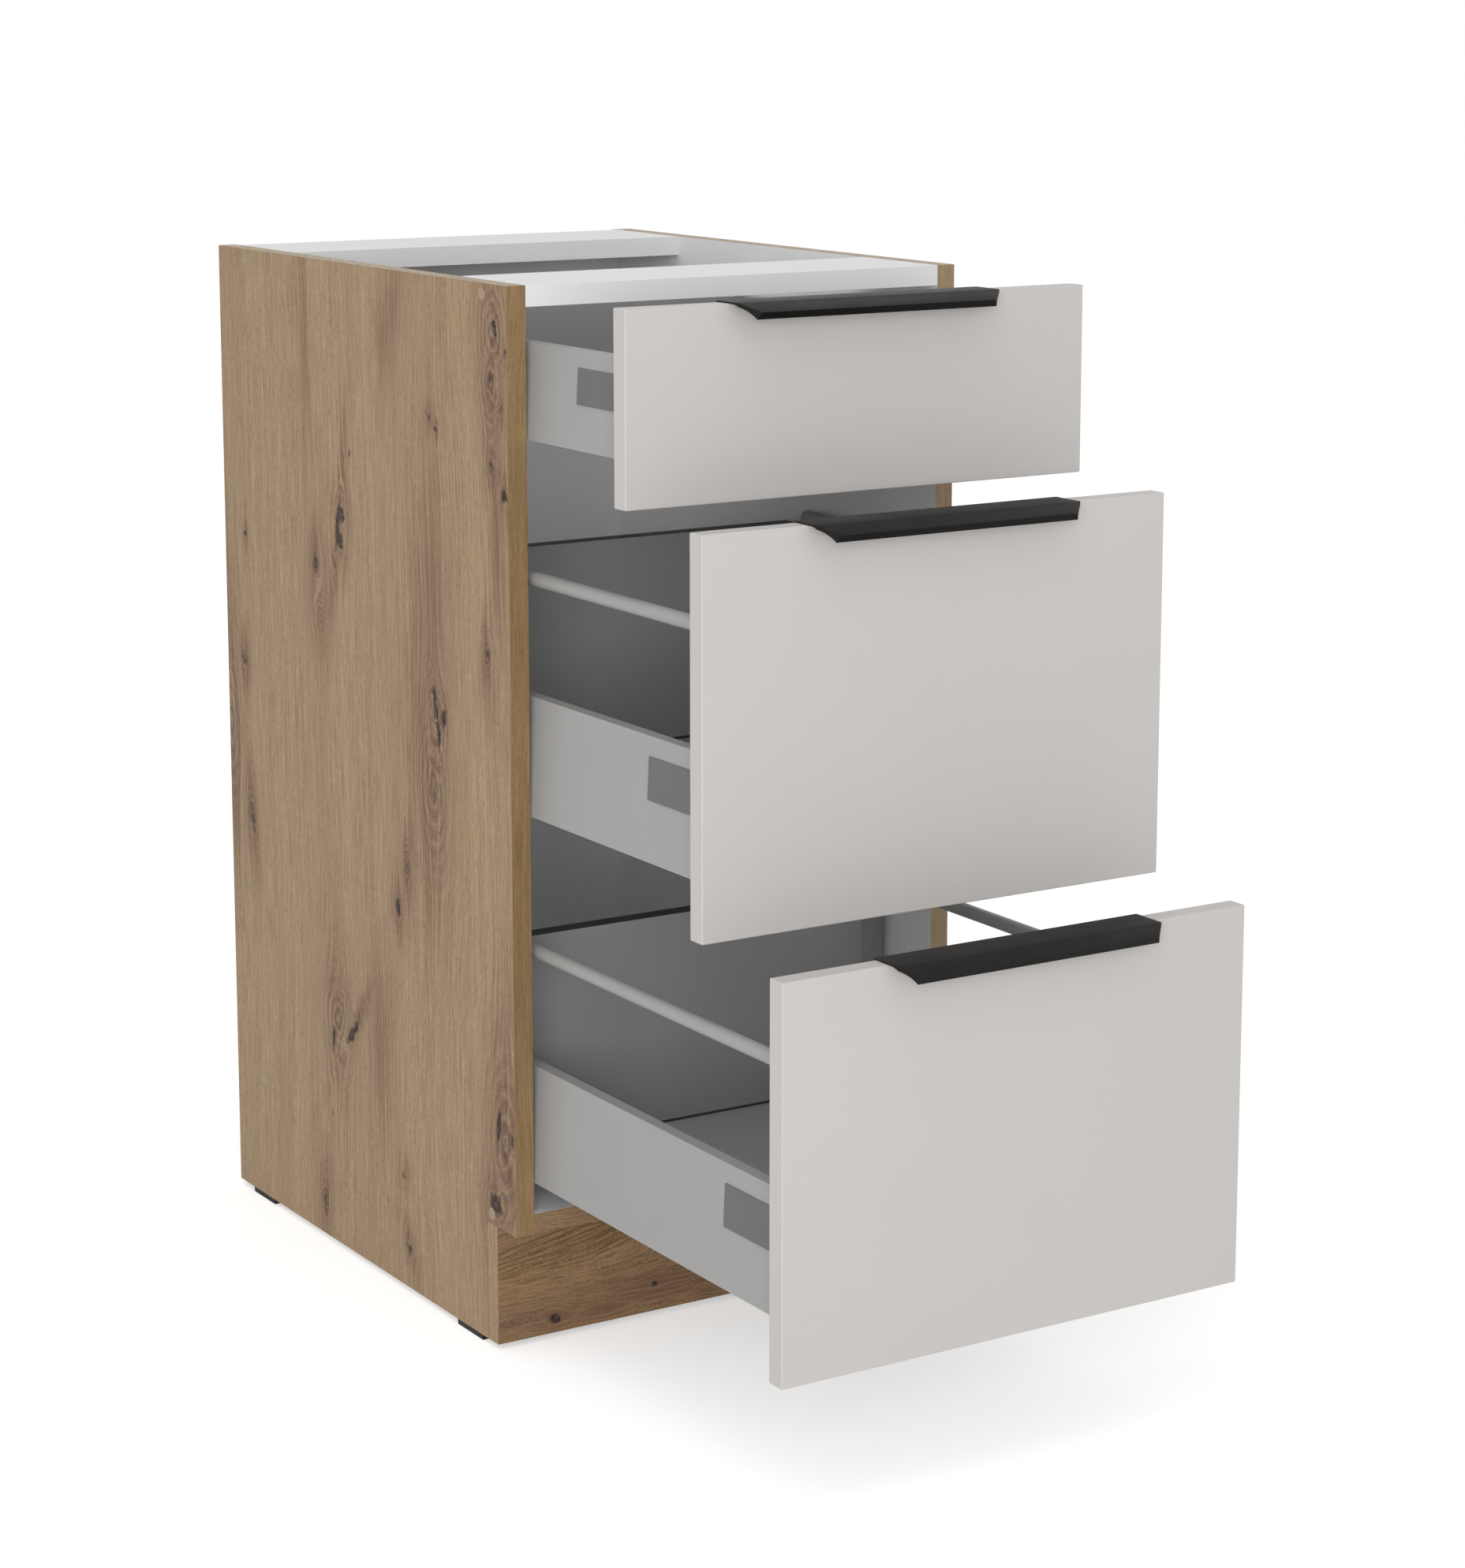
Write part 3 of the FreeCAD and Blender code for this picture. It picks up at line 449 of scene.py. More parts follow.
def dress(tree, shader, colour, rough, height, relief, strength=1.0, gloss=0.5):
    """Feed a shader its colour, roughness, gloss and a bump whose relief is in metres."""
    feed(tree, colour, shader.inputs["Base Color"])
    feed(tree, rough, shader.inputs["Roughness"])
    shader.inputs["Specular IOR Level"].default_value = gloss
    bump = put(tree, "ShaderNodeBump", {"Height": height, "Strength": strength, "Distance": relief})
    feed(tree, bump.outputs[0], shader.inputs["Normal"])


def place_pearl(tree, place, fineness, rough):
    """Put the pearl into a material with its range of roughness."""
    return place_group(tree, PEARL, {"Place": place, "Fineness": fineness, "Low": rough[0], "High": rough[1]})


def tinted(tree, colour, tone):
    """Colour with a faint change of tone over the surface."""
    return blend_colour(tree, 1.0, (*colour, 1.0), grey_of(tree, tone), "MULTIPLY")


def darker(colour, share):
    """A share of a colour."""
    return (*[share * part for part in colour], 1.0)


def coated(name, colour, fineness, rough, relief, gloss=0.5, speckle=0.0, painted_shade_share=1.0):
    """Plain coated finish with a pearl: lacquer, melamine, powder coat or moulded plastic.

    The last argument is the share of the colour that a painted shade leaves on faces that look down."""
    finish, tree, shader, place = new_finish(name)
    pearl = place_pearl(tree, place, fineness, rough)
    base = tinted(tree, colour, pearl["Tone"])
    if speckle:
        dots = remap(tree, pearl["Height"], 0.35, 0.65, 1.0 - speckle, 1.0 + speckle)
        base = blend_colour(tree, 1.0, base, grey_of(tree, dots), "MULTIPLY")
    # Painted shade: faces that look down are darkened towards a share of the colour.
    if painted_shade_share < 1.0:
        painted_shade_downwards = remap(tree, face_direction(tree)[2], -0.15, -0.35)
        base = blend_colour(tree, painted_shade_downwards, base, darker(colour, painted_shade_share))
    dress(tree, shader, base, pearl["Roughness"], pearl["Height"], relief, gloss=gloss)
    return finish


# %% [markdown]
# The coated finishes differ only in colour, grain size and gloss, so one function makes them all.
# Colours are linear values, read against the photograph. The black handles are matt, and the
# faces of them that look down carry a painted shade that makes them darker still, because the white floor
# throws much light up at them.

# %% Coated finishes
FRONT_LACQUER = coated("front_lacquer", (0.575, 0.548, 0.528), 1500.0, (0.46, 0.52), 0.010 * MM)
WHITE_MELAMINE = coated("white_melamine", (0.830, 0.830, 0.830), 1100.0, (0.42, 0.50), 0.020 * MM)
WALL_POWDER = coated("wall_powder", (0.358, 0.356, 0.349), 1800.0, (0.42, 0.50), 0.012 * MM, speckle=0.02)
# The handle coat carries a painted shade on its faces that look down.
HANDLE_COAT = coated(
    "handle_coat", (0.014, 0.013, 0.012), 3200.0, (0.40, 0.48), 0.012 * MM,
    gloss=0.08, speckle=0.05, painted_shade_share=0.42,
)
COVER_PLASTIC = coated("cover_plastic", (0.134, 0.132, 0.127), 1400.0, (0.50, 0.58), 0.020 * MM, speckle=0.03)
BRACKET_COAT = coated("bracket_coat", (0.268, 0.262, 0.266), 1600.0, (0.42, 0.50), 0.015 * MM)
GLIDE_PLASTIC = coated("glide_plastic", (0.008, 0.008, 0.008), 1200.0, (0.45, 0.60), 0.030 * MM, gloss=0.2)
CAP_PLASTIC = coated("cap_plastic", (0.352, 0.264, 0.174), 1500.0, (0.50, 0.58), 0.010 * MM)
SOCKET_PLASTIC = coated("socket_plastic", (0.380, 0.380, 0.378), 1400.0, (0.40, 0.48), 0.015 * MM)
BOX_BOTTOM_BOARD = coated("box_bottom_board", (0.500, 0.498, 0.500), 1000.0, (0.42, 0.52), 0.020 * MM)
print("coated finishes made")

# %% [markdown]
# Zinc plated steel shows faint crystals and a drawn direction. A stretched noise moves its roughness,
# and cells give the plating its patches. It serves the rails, the screws and the nails.

# %% Zinc plated steel
def make_zinc(name, tone, lines):
    """Bright plated steel; the lines are drawn lines to the metre on each axis."""
    finish, tree, shader, place = new_finish(name)
    drawn = noise(tree, scaled(tree, place, lines), 1.0, 3.0, 0.6)
    patch = red_of(tree, cells(tree, place, 260.0)["Color"])
    shade = plus(tree, times(tree, drawn, 0.16), times(tree, patch, 0.05))
    level = plus(tree, shade, tone - 0.1)
    cool = times(tree, level, 1.03)
    steel = put(tree, "ShaderNodeCombineColor", {0: level, 1: level, 2: cool}).outputs[0]
    shader.inputs["Metallic"].default_value = 1.0
    dress(tree, shader, steel, remap(tree, drawn, 0.3, 0.7, 0.26, 0.42), drawn, 0.006 * MM)
    return finish


RAIL_ZINC = make_zinc("rail_zinc", 0.62, (900.0, 12.0, 900.0))
SCREW_ZINC = make_zinc("screw_zinc", 0.70, (1500.0, 1500.0, 1500.0))
print("zinc finishes made")

# %% [markdown]
# A side panel has several looks on one board: oak outside, an oak band on the front edge, white inside and
# sawn chipboard above, below and behind. The direction that a face looks in tells them apart. Each knot
# has its share of the board's depth and height, a radius, how much longer than wide it is, how far it
# leans, and how black its middle is. With a middle of 0 it is only a stain. Ragged outlines come from
# pushing the place about with noise before the knots measure their distances.

# %% Oak side panels
LEFT_KNOTS = [
    (0.567, 0.743, 3.8, 4.8, -0.20, 1.00),
    (0.557, 0.753, 7.2, 0.8, 0.00, 1.00),
    (0.562, 0.728, 6.6, 0.8, 0.00, 1.00),
    (0.677, 0.900, 3.0, 6.5, 0.00, 0.00),
    (0.650, 0.698, 5.6, 1.3, 0.00, 0.90),
    (0.641, 0.678, 9.0, 1.0, 0.00, 0.00),
    (0.637, 0.651, 6.5, 1.2, 0.00, 0.14),
    (0.237, 0.591, 7.2, 1.4, 0.10, 0.95),
    (0.213, 0.586, 4.4, 1.4, 0.00, 1.00),
    (0.229, 0.569, 2.6, 3.8, 0.00, 1.00),
    (0.242, 0.604, 2.8, 2.6, 0.00, 1.00),
    (0.281, 0.575, 13.0, 1.5, 0.00, 0.00),
    (0.260, 0.640, 13.0, 2.2, -0.10, 0.00),
    (0.249, 0.516, 10.5, 2.0, 0.00, 0.24),
    (0.249, 0.512, 1.6, 9.0, 0.00, 0.70),
    (0.545, 0.231, 4.8, 2.6, -0.75, 1.00),
    (0.618, 0.214, 1.9, 5.0, -0.20, 1.00),
    (0.600, 0.238, 11.0, 1.2, 0.00, 0.16),
    (0.445, 0.240, 8.0, 1.9, 0.00, 0.00),
    (0.660, 0.038, 5.2, 1.9, 0.00, 0.90),
    (0.933, 0.573, 4.9, 1.2, 0.00, 0.92),
    (0.921, 0.707, 2.4, 1.2, 0.00, 1.00),
    (0.915, 0.408, 5.4, 1.9, 0.10, 0.90),
    (0.992, 0.503, 8.5, 3.0, 0.00, 0.26),
    (0.037, 0.960, 3.6, 1.6, 0.30, 1.00),
    (0.044, 0.955, 9.5, 1.7, 0.00, 0.16),
    (0.050, 0.914, 5.2, 1.1, 0.00, 0.88),
    (0.050, 0.911, 7.5, 2.0, 0.00, 0.20),
    (0.006, 0.941, 3.0, 1.3, 0.00, 0.95),
    (0.019, 0.888, 3.0, 1.2, 0.00, 0.90),
    (0.052, 0.836, 4.2, 1.3, 0.00, 0.90),
    (0.011, 0.810, 4.2, 1.3, 0.30, 1.00),
    (0.036, 0.774, 4.5, 4.0, 0.00, 0.00),
    (0.069, 0.663, 5.0, 1.5, -0.10, 0.92),
    (0.063, 0.643, 4.6, 2.0, 0.00, 0.00),
    (0.343, 0.425, 5.0, 2.0, -0.10, 0.40),
    (0.376, 0.382, 4.4, 1.3, 0.00, 1.00),
    (0.050, 0.216, 3.4, 3.6, -0.10, 1.00),
    (0.008, 0.209, 3.4, 1.8, 0.00, 0.92),
    (0.030, 0.203, 12.0, 2.2, -0.05, 0.18),
    (0.063, 0.137, 8.6, 0.9, 0.00, 1.00),
    (0.373, 0.113, 3.6, 0.9, 0.00, 0.80),
    (0.354, 0.041, 5.0, 1.0, 0.30, 0.92),
    (0.246, 0.868, 2.9, 1.0, 0.00, 0.90),
    (0.227, 0.859, 2.1, 1.0, 0.00, 1.00),
    (0.390, 0.934, 7.0, 0.9, 0.00, 0.00),
    (0.372, 0.954, 6.5, 1.7, -0.30, 0.00),
]
RIGHT_KNOTS = [
    (0.300, 0.820, 6.6, 1.4, -0.20, 1.00),
    (0.330, 0.760, 11.0, 1.6, 0.00, 0.20),
    (0.720, 0.610, 6.0, 1.4, 0.15, 0.90),
    (0.180, 0.470, 4.8, 1.2, 0.00, 0.70),
    (0.560, 0.350, 6.4, 1.6, -0.30, 1.00),
    (0.570, 0.290, 10.0, 1.8, 0.00, 0.20),
    (0.850, 0.200, 5.2, 1.3, 0.00, 0.90),
    (0.380, 0.110, 4.5, 1.2, 0.00, 0.80),
    (0.640, 0.900, 3.6, 1.1, 0.00, 0.80),
    (0.080, 0.700, 4.6, 1.6, 0.00, 0.70),
    (0.850, 0.780, 4.0, 4.0, 0.00, 0.00),
]


def roughened(tree, plane, ragged):
    """Place pushed about by noise, so that outlines become ragged."""
    coarse = {"Vector": plane, "Scale": 95.0, "Detail": 4.0, "Roughness": 0.62}
    pattern = put(tree, "ShaderNodeTexNoise", coarse).outputs["Color"]
    centred = put(tree, "ShaderNodeVectorMath", {0: pattern, 1: (0.5, 0.5, 0.5)}, operation="SUBTRACT")
    shift = scaled(tree, centred.outputs[0], (0.008 * ragged, 0.020 * ragged, 0.0))
    return put(tree, "ShaderNodeVectorMath", {0: plane, 1: shift}, operation="ADD").outputs[0]


def chain_knots(tree, plane, knots, low, size, ragged=1.0):
    """Chain one knot group per knot; shares count from a low corner over a size."""
    pushed = roughened(tree, plane, ragged)
    carried = {"Push": 0.0, "Distance": 100.0, "Stain": 0.0, "Core": 0.0}
    for across, along, radius, stretch, lean, depth in knots:
        settings = {
            "Place": pushed,
            "Across": low[0] + across * size[0],
            "Along": low[1] + along * size[1],
            "Radius": radius * MM,
            "Stretch": stretch,
            "Lean": lean,
            "Depth": depth,
        }
        given = place_group(tree, KNOT, {**settings, **carried})
        carried = {key: given[key] for key in carried}
    return carried


SQUARE_ON = 0.6
# The inner faces are painted a lighter white than the white melamine of the top rails, a painted light for the
# shaded inside of the carcass.
LIT_INSIDE_WHITE = 0.92
DECOR_GLOSS = 0.18
DECOR_RELIEF = 0.05 * MM
RELIEF_STRENGTH = 0.6
SIDE_BOARD = {"Light": (0.470, 0.345, 0.213, 1), "Dark": (0.280, 0.189, 0.110, 1), "Contrast": 1.0}


def make_side_finish(name, node, outward, knots, band_look):
    """Oak outside and on the front edge, white inside, chipboard on the sawn edges."""
    finish, tree, shader, place = new_finish(name)
    low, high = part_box(node)
    spot = parts_of(tree, place)
    plane = vector_of(tree, spot[1], spot[2], outward)
    size = (high.y - low.y, high.z - low.z)
    flow = chain_knots(tree, plane, knots, (low.y, low.z), size)
    oak = place_group(tree, OAK, {"Place": plane, **flow, **SIDE_BOARD})
    band_place = vector_of(tree, spot[0], spot[2], 7.0)
    band = place_group(tree, OAK, {"Place": band_place, "Contrast": 0.8, **band_look})
    chip = place_group(tree, CHIP, {"Place": place})
    facing = face_direction(tree)
    outside = maths(tree, "GREATER_THAN", times(tree, facing[0], outward), SQUARE_ON)
    forward = maths(tree, "LESS_THAN", facing[1], -SQUARE_ON)
    level = maths(tree, "ABSOLUTE", facing[2])
    sawn = maths(tree, "GREATER_THAN", maths(tree, "MAXIMUM", level, facing[1]), SQUARE_ON)
    pearl = place_pearl(tree, place, 1100.0, (0.42, 0.50))
    base = blend_colour(tree, outside, grey(LIT_INSIDE_WHITE), oak["Colour"])
    base = blend_colour(tree, forward, base, band["Colour"])
    base = blend_colour(tree, sawn, base, chip["Colour"])
    rough = mix_numbers(tree, outside, pearl["Roughness"], oak["Roughness"])
    height = mix_numbers(tree, outside, pearl["Height"], oak["Height"])
    dress(tree, shader, base, rough, height, DECOR_RELIEF, RELIEF_STRENGTH, DECOR_GLOSS)
    return finish


# Both front edge bands are the same oak: the left one is painted darker, a painted shade beside the drawers,
# and the right one lighter, a painted light.
SHADED_LEFT_BAND = {"Light": (0.345, 0.227, 0.110, 1), "Dark": (0.219, 0.135, 0.060, 1)}
LIT_RIGHT_BAND = {"Light": (0.430, 0.320, 0.195, 1), "Dark": (0.300, 0.212, 0.120, 1)}
OAK_LEFT = make_side_finish("oak_left", "side_panel_left", -1.0, LEFT_KNOTS, SHADED_LEFT_BAND)
OAK_RIGHT = make_side_finish("oak_right", "side_panel_right", 1.0, RIGHT_KNOTS, LIT_RIGHT_BAND)
print("side finishes:", len(OAK_LEFT.node_tree.nodes), "and", len(OAK_RIGHT.node_tree.nodes), "nodes")

# %% [markdown]
# The plinth board is cut from the same decor with its grain lying across. Its front colours are darker and
# browner than those of the side panels and its own ends, a painted shade, because it stands back in the
# shade. Its grain is finer. Two knots sit low and to the left, a third above the middle, and near the top
# a group of dark lines rises to the right. Its ends take an upright band of the decor, because on them the
# lines of the front would run as a zigzag.

# %% Oak plinth
# The colours of the plinth's front carry a painted shade; its ends keep lighter colours of the decor.
SHADED_PLINTH_BOARD = {"Light": (0.338, 0.214, 0.109, 1), "Dark": (0.166, 0.096, 0.045, 1), "Contrast": 1.5}
PLINTH_END = {"Light": (0.450, 0.322, 0.198, 1), "Dark": (0.280, 0.185, 0.110, 1), "Contrast": 0.8}
GROOVE_BROWN = (0.095, 0.056, 0.030, 1)
GROOVE_PITCH = 4.7 * MM
FINER_GRAIN = 1.7
PLINTH_KNOTS = [
    (0.120, 0.125, 3.9, 1.10, 0.00, 1.00),
    (0.110, 0.230, 2.6, 2.00, 0.00, 0.12),
    (0.170, 0.040, 3.6, 3.00, 0.00, 0.10),
    (0.235, 0.350, 2.0, 1.20, 0.00, 1.00),
    (0.235, 0.350, 5.0, 1.60, 0.00, 0.00),
    (0.600, 0.700, 5.0, 1.40, 0.00, 0.90),
]


def make_plinth_finish():
    """Oak with its grain along the width."""
    finish, tree, shader, place = new_finish("oak_plinth")
    low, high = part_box("plinth_board")
    spot = parts_of(tree, place)
    plane = vector_of(tree, spot[2], spot[0], 3.0)
    size = (high.z - low.z, high.x - low.x)
    flow = chain_knots(tree, plane, PLINTH_KNOTS, (low.z, low.x), size, 0.4)
    slope = remap(tree, spot[2], low.z + 0.35 * size[0], low.z + 0.85 * size[0], 0.0, 0.17, smooth=True)
    risen = minus(tree, spot[2], times(tree, minus(tree, spot[0], low.x), slope))
    risen = plus(tree, risen, flow["Push"])
    finer = scaled(tree, vector_of(tree, risen, spot[0], 3.0), (FINER_GRAIN, FINER_GRAIN, 1.0))
    still = {key: flow[key] for key in ("Distance", "Stain", "Core")}
    oak = place_group(tree, OAK, {"Place": finer, **still, **SHADED_PLINTH_BOARD})
    ripple = noise(tree, scaled(tree, finer, (60.0, 9.0, 1.0)), 1.0, 2.0)
    turns = plus(tree, times(tree, risen, 2 * math.pi / GROOVE_PITCH), times(tree, ripple, 9.0))
    groove = remap(tree, maths(tree, "SINE", turns), 0.45, 1.0)
    upper = remap(tree, risen, low.z + 0.52 * size[0], low.z + 0.64 * size[0], smooth=True)
    patchy = remap(tree, noise(tree, scaled(tree, finer, (28.0, 5.0, 1.0)), 1.0, 2.0), 0.38, 0.55)
    groove = times(tree, times(tree, groove, upper), times(tree, patchy, 0.70))
    colour = blend_colour(tree, groove, oak["Colour"], GROOVE_BROWN)
    end_band = place_group(tree, OAK, {"Place": vector_of(tree, spot[1], spot[2], 5.0), **PLINTH_END})
    sideways = maths(tree, "ABSOLUTE", face_direction(tree)[0])
    at_end = maths(tree, "GREATER_THAN", sideways, SQUARE_ON)
    colour = blend_colour(tree, at_end, colour, end_band["Colour"])
    dress(tree, shader, colour, oak["Roughness"], oak["Height"], DECOR_RELIEF, RELIEF_STRENGTH, DECOR_GLOSS)
    return finish


OAK_PLINTH = make_plinth_finish()
print("plinth finish:", len(OAK_PLINTH.node_tree.nodes), "nodes")

# %% [markdown]
# In the photograph no white edge shows between the floor of the cabinet and its plinth: the oak runs on.
# So the bottom panel is white, with a band of the same decor on its front edge.

# %% Bottom panel with an oak band
BOTTOM_WHITE = 0.90


def make_bottom_finish():
    """White board with an oak band on its front edge."""
    finish, tree, shader, place = new_finish("bottom_board")
    spot = parts_of(tree, place)
    plane = vector_of(tree, spot[2], spot[0], 3.0)
    finer = scaled(tree, plane, (FINER_GRAIN, FINER_GRAIN, 1.0))
    # The band on the front edge takes the plinth's darker colours, the same painted shade.
    oak = place_group(tree, OAK, {"Place": finer, **SHADED_PLINTH_BOARD})
    pearl = place_pearl(tree, place, 1100.0, (0.42, 0.50))
    forward = maths(tree, "LESS_THAN", face_direction(tree)[1], -SQUARE_ON)
    colour = blend_colour(tree, forward, grey(BOTTOM_WHITE), oak["Colour"])
    rough = mix_numbers(tree, forward, pearl["Roughness"], oak["Roughness"])
    height = mix_numbers(tree, forward, pearl["Height"], oak["Height"])
    dress(tree, shader, colour, rough, height, 0.03 * MM, RELIEF_STRENGTH, 0.3)
    return finish


BOTTOM_BOARD = make_bottom_finish()
print("bottom board has", len(BOTTOM_BOARD.node_tree.nodes), "nodes")

# %% [markdown]
# The back board of a drawer is grey melamine whose sawn upper edge looks nearly black, and the back panel
# is white fibreboard with its brown raw side to the wall. Both are two looks split by the direction in
# which a face looks. The drawer's back board also has a thin dark seam where it meets the bottom, a painted
# shadow line.

# %% Boards with two looks
SHADOW_SEAM_HALF = 1.3 * MM


def make_two_sided(name, colour, other, axis, fineness, shadow_seams=()):
    """Coated colour, with another one on faces that look along an axis and in thin level seams of painted
    shadow.
    """
    finish, tree, shader, place = new_finish(name)
    pearl = place_pearl(tree, place, fineness, (0.45, 0.55))
    split = maths(tree, "GREATER_THAN", face_direction(tree)["XYZ".index(axis)], SQUARE_ON)
    fibres = remap(tree, noise(tree, place, 700.0, 4.0, 0.7), 0.35, 0.65)
    rough_side = blend_colour(tree, fibres, darker(other, 0.8), (*other, 1.0))
    coat = tinted(tree, colour, pearl["Tone"])
    height = parts_of(tree, place)[2]
    # Painted shadow: a thin dark line where the back board meets the drawer bottom.
    for shadow_seam in shadow_seams:
        away = maths(tree, "ABSOLUTE", minus(tree, height, shadow_seam))
        coat = blend_colour(tree, remap(tree, away, SHADOW_SEAM_HALF, 0.6 * SHADOW_SEAM_HALF), coat, (*other, 1.0))
    colour = blend_colour(tree, split, coat, rough_side)
    dress(tree, shader, colour, pearl["Roughness"], pearl["Height"], 0.015 * MM)
    return finish


BOX_SHADOW_SEAMS = [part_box(f"box_bottom_{drawer}")[1].z + SHADOW_SEAM_HALF for drawer in DRAWERS]
BOX_GREY, BOX_EDGE = (0.310, 0.309, 0.310), (0.030, 0.030, 0.031)
BOX_BACK_BOARD = make_two_sided("box_back_board", BOX_GREY, BOX_EDGE, "Z", 1000.0, BOX_SHADOW_SEAMS)
# The white face of the back panel is as light as the inner faces of the sides, a painted light for the shaded
# inside.
BACK_BOARD = make_two_sided("back_board", (0.92, 0.92, 0.92), (0.30, 0.185, 0.105), "Y", 900.0)
print("two-sided boards made")

# %% [markdown]
# Beech dowels and soft clear buffers are hardly seen, but they still get their own finish:
# the dowel has short rays in its wood, and the buffer lets a little light through.

# %% Dowels and buffers
def make_beech():
    """Pale beech with short rays."""
    finish, tree, shader, place = new_finish("beech")
    rays = noise(tree, scaled(tree, place, (300.0, 900.0, 900.0)), 1.0, 3.0, 0.6)
    colour = blend_colour(tree, rays, (0.58, 0.38, 0.22, 1), (0.42, 0.25, 0.13, 1))
    dress(tree, shader, colour, remap(tree, rays, 0.3, 0.7, 0.5, 0.65), rays, 0.05 * MM)
    return finish


def make_buffer_gel():
    """Soft clear rubber."""
    finish, tree, shader, place = new_finish("buffer_gel")
    cloud = noise(tree, place, 900.0, 3.0, 0.6)
    colour = blend_colour(tree, cloud, (0.72, 0.72, 0.70, 1), (0.60, 0.60, 0.58, 1))
    dress(tree, shader, colour, remap(tree, cloud, 0.3, 0.7, 0.25, 0.35), cloud, 0.01 * MM)
    shader.inputs["Subsurface Weight"].default_value = 0.2
    shader.inputs["Subsurface Scale"].default_value = 2.0 * MM
    return finish


BEECH = make_beech()
BUFFER_GEL = make_buffer_gel()
print(len(bpy.data.materials), "materials")

# %% [markdown]
# A CAD mesh has perfectly sharp edges, which catch no light. Real boards, sheet metal and mouldings all
# have small radii, so most pieces are replaced by a merged copy with a bevel. The copy is merged first,
# because CAD triangles share no corners, and flat faces are joined so that only true edges are bevelled.
# Smooth shading would bend the light on the large flat faces next to a bevel, so a Weighted Normal
# modifier lets the large faces decide. Both modifiers are applied before the piece takes its place.

# %% Soften the edges of a node
FLAT_BELOW = math.radians(0.4)


def merged_mesh(node):
    """Copy of a node's mesh with shared corners and joined flat faces."""
    mesh = NODES[node].data.copy()
    work = bmesh.new()
    work.from_mesh(mesh)
    bmesh.ops.remove_doubles(work, verts=work.verts, dist=0.001 * MM)
    bmesh.ops.dissolve_limit(work, angle_limit=FLAT_BELOW, verts=work.verts, edges=work.edges)
    work.to_mesh(mesh)
    work.free()
    mesh.materials.clear()
    return mesh


def finish_piece(piece, node, finish):
    """Give a piece its finish and let it stand for its node."""
    piece.data.materials.clear()
    piece.data.materials.append(finish)
    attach(piece, BODY_OF[node])
    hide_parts(node)


def plain_mesh_of(source, name):
    """Apply the modifiers of an object and return a plain one with the result."""
    bpy.context.view_layer.update()
    evaluated = source.evaluated_get(bpy.context.evaluated_depsgraph_get())
    mesh = bpy.data.meshes.new_from_object(evaluated)
    start = source.data
    bpy.data.objects.remove(source)
    if isinstance(start, bpy.types.Mesh):
        bpy.data.meshes.remove(start)
    mesh.name = name
    piece = bpy.data.objects.new(name, mesh)
    bpy.context.scene.collection.objects.link(piece)
    return piece


BEVEL_FROM = math.radians(40)
CREASE_FROM = math.radians(32)
FLAT_WEIGHT = 90


def soften(node, radius, finish, segments):
    """Replace a node by a copy with rounded edges."""
    source = bpy.data.objects.new("source", merged_mesh(node))
    bpy.context.scene.collection.objects.link(source)
    bevel = source.modifiers.new("edges", "BEVEL")
    bevel.width = radius
    bevel.segments = segments
    bevel.limit_method = "ANGLE"
    bevel.angle_limit = BEVEL_FROM
    bevel.use_clamp_overlap = True
    piece = plain_mesh_of(source, f"soft_{node}")
    piece.data.polygons.foreach_set("use_smooth", [True] * len(piece.data.polygons))
    piece.data.set_sharp_from_angle(angle=CREASE_FROM)
    even = piece.modifiers.new("even", "WEIGHTED_NORMAL")
    even.weight = FLAT_WEIGHT
    even.keep_sharp = True
    finish_piece(plain_mesh_of(piece, piece.name), node, finish)


# %% [markdown]
# Carcass boards get the smallest radius that still shows a line of light. Plastic gets more. Each row
# of the table gives the node, the radius in millimetres, the finish and the steps of the rounding.

# %% Carcass pieces
CARCASS = [
    ("side_panel_left", 0.35, OAK_LEFT, 2),
    ("side_panel_right", 0.35, OAK_RIGHT, 2),
    ("plinth_board", 0.40, OAK_PLINTH, 2),
    ("bottom_panel", 0.40, BOTTOM_BOARD, 2),
    ("top_rail_front", 0.40, WHITE_MELAMINE, 2),
    ("top_rail_rear", 0.40, WHITE_MELAMINE, 2),
    ("back_panel", 0.20, BACK_BOARD, 2),
    ("floor_glides", 0.60, GLIDE_PLASTIC, 3),
    ("cover_caps", 0.30, CAP_PLASTIC, 3),
    ("dowels", 0.60, BEECH, 2),
]
for node, radius, finish, segments in CARCASS:
    soften(node, radius * MM, finish, segments)
print("carcass dressed")

# %% [markdown]
# Each drawer repeats the same pieces, so one table dresses all three. The fronts come from CAD with
# their soft edges already, and only take the lacquer. Steel is 1 mm thick, so its radii stay below half.

# %% Drawer pieces
def keep(node, finish):
    """Leave a CAD node as it is and give it a finish."""
    for slot in NODES[node].material_slots:
        slot.material = finish


DRAWER_PIECES = [
    ("handle", 0.45, HANDLE_COAT, 3),
    ("wall_left", 0.40, WALL_POWDER, 3),
    ("wall_right", 0.40, WALL_POWDER, 3),
    ("box_bottom", 0.30, BOX_BOTTOM_BOARD, 2),
    ("box_back", 0.30, BOX_BACK_BOARD, 2),
    ("cover_plates", 0.30, COVER_PLASTIC, 3),
    ("back_brackets", 0.40, BRACKET_COAT, 3),
    ("front_brackets", 0.40, BRACKET_COAT, 3),
    ("buffers", 0.70, BUFFER_GEL, 3),
    ("cabinet_rails", 0.35, RAIL_ZINC, 2),
    ("slide_left", 0.30, RAIL_ZINC, 2),
    ("slide_right", 0.30, RAIL_ZINC, 2),
]
TALL_PIECES = [
    ("gallery_rods", 2.40, WALL_POWDER, 4),
    ("rod_sockets", 0.80, SOCKET_PLASTIC, 3),
]
for drawer in DRAWERS:
    keep(f"front_{drawer}", FRONT_LACQUER)
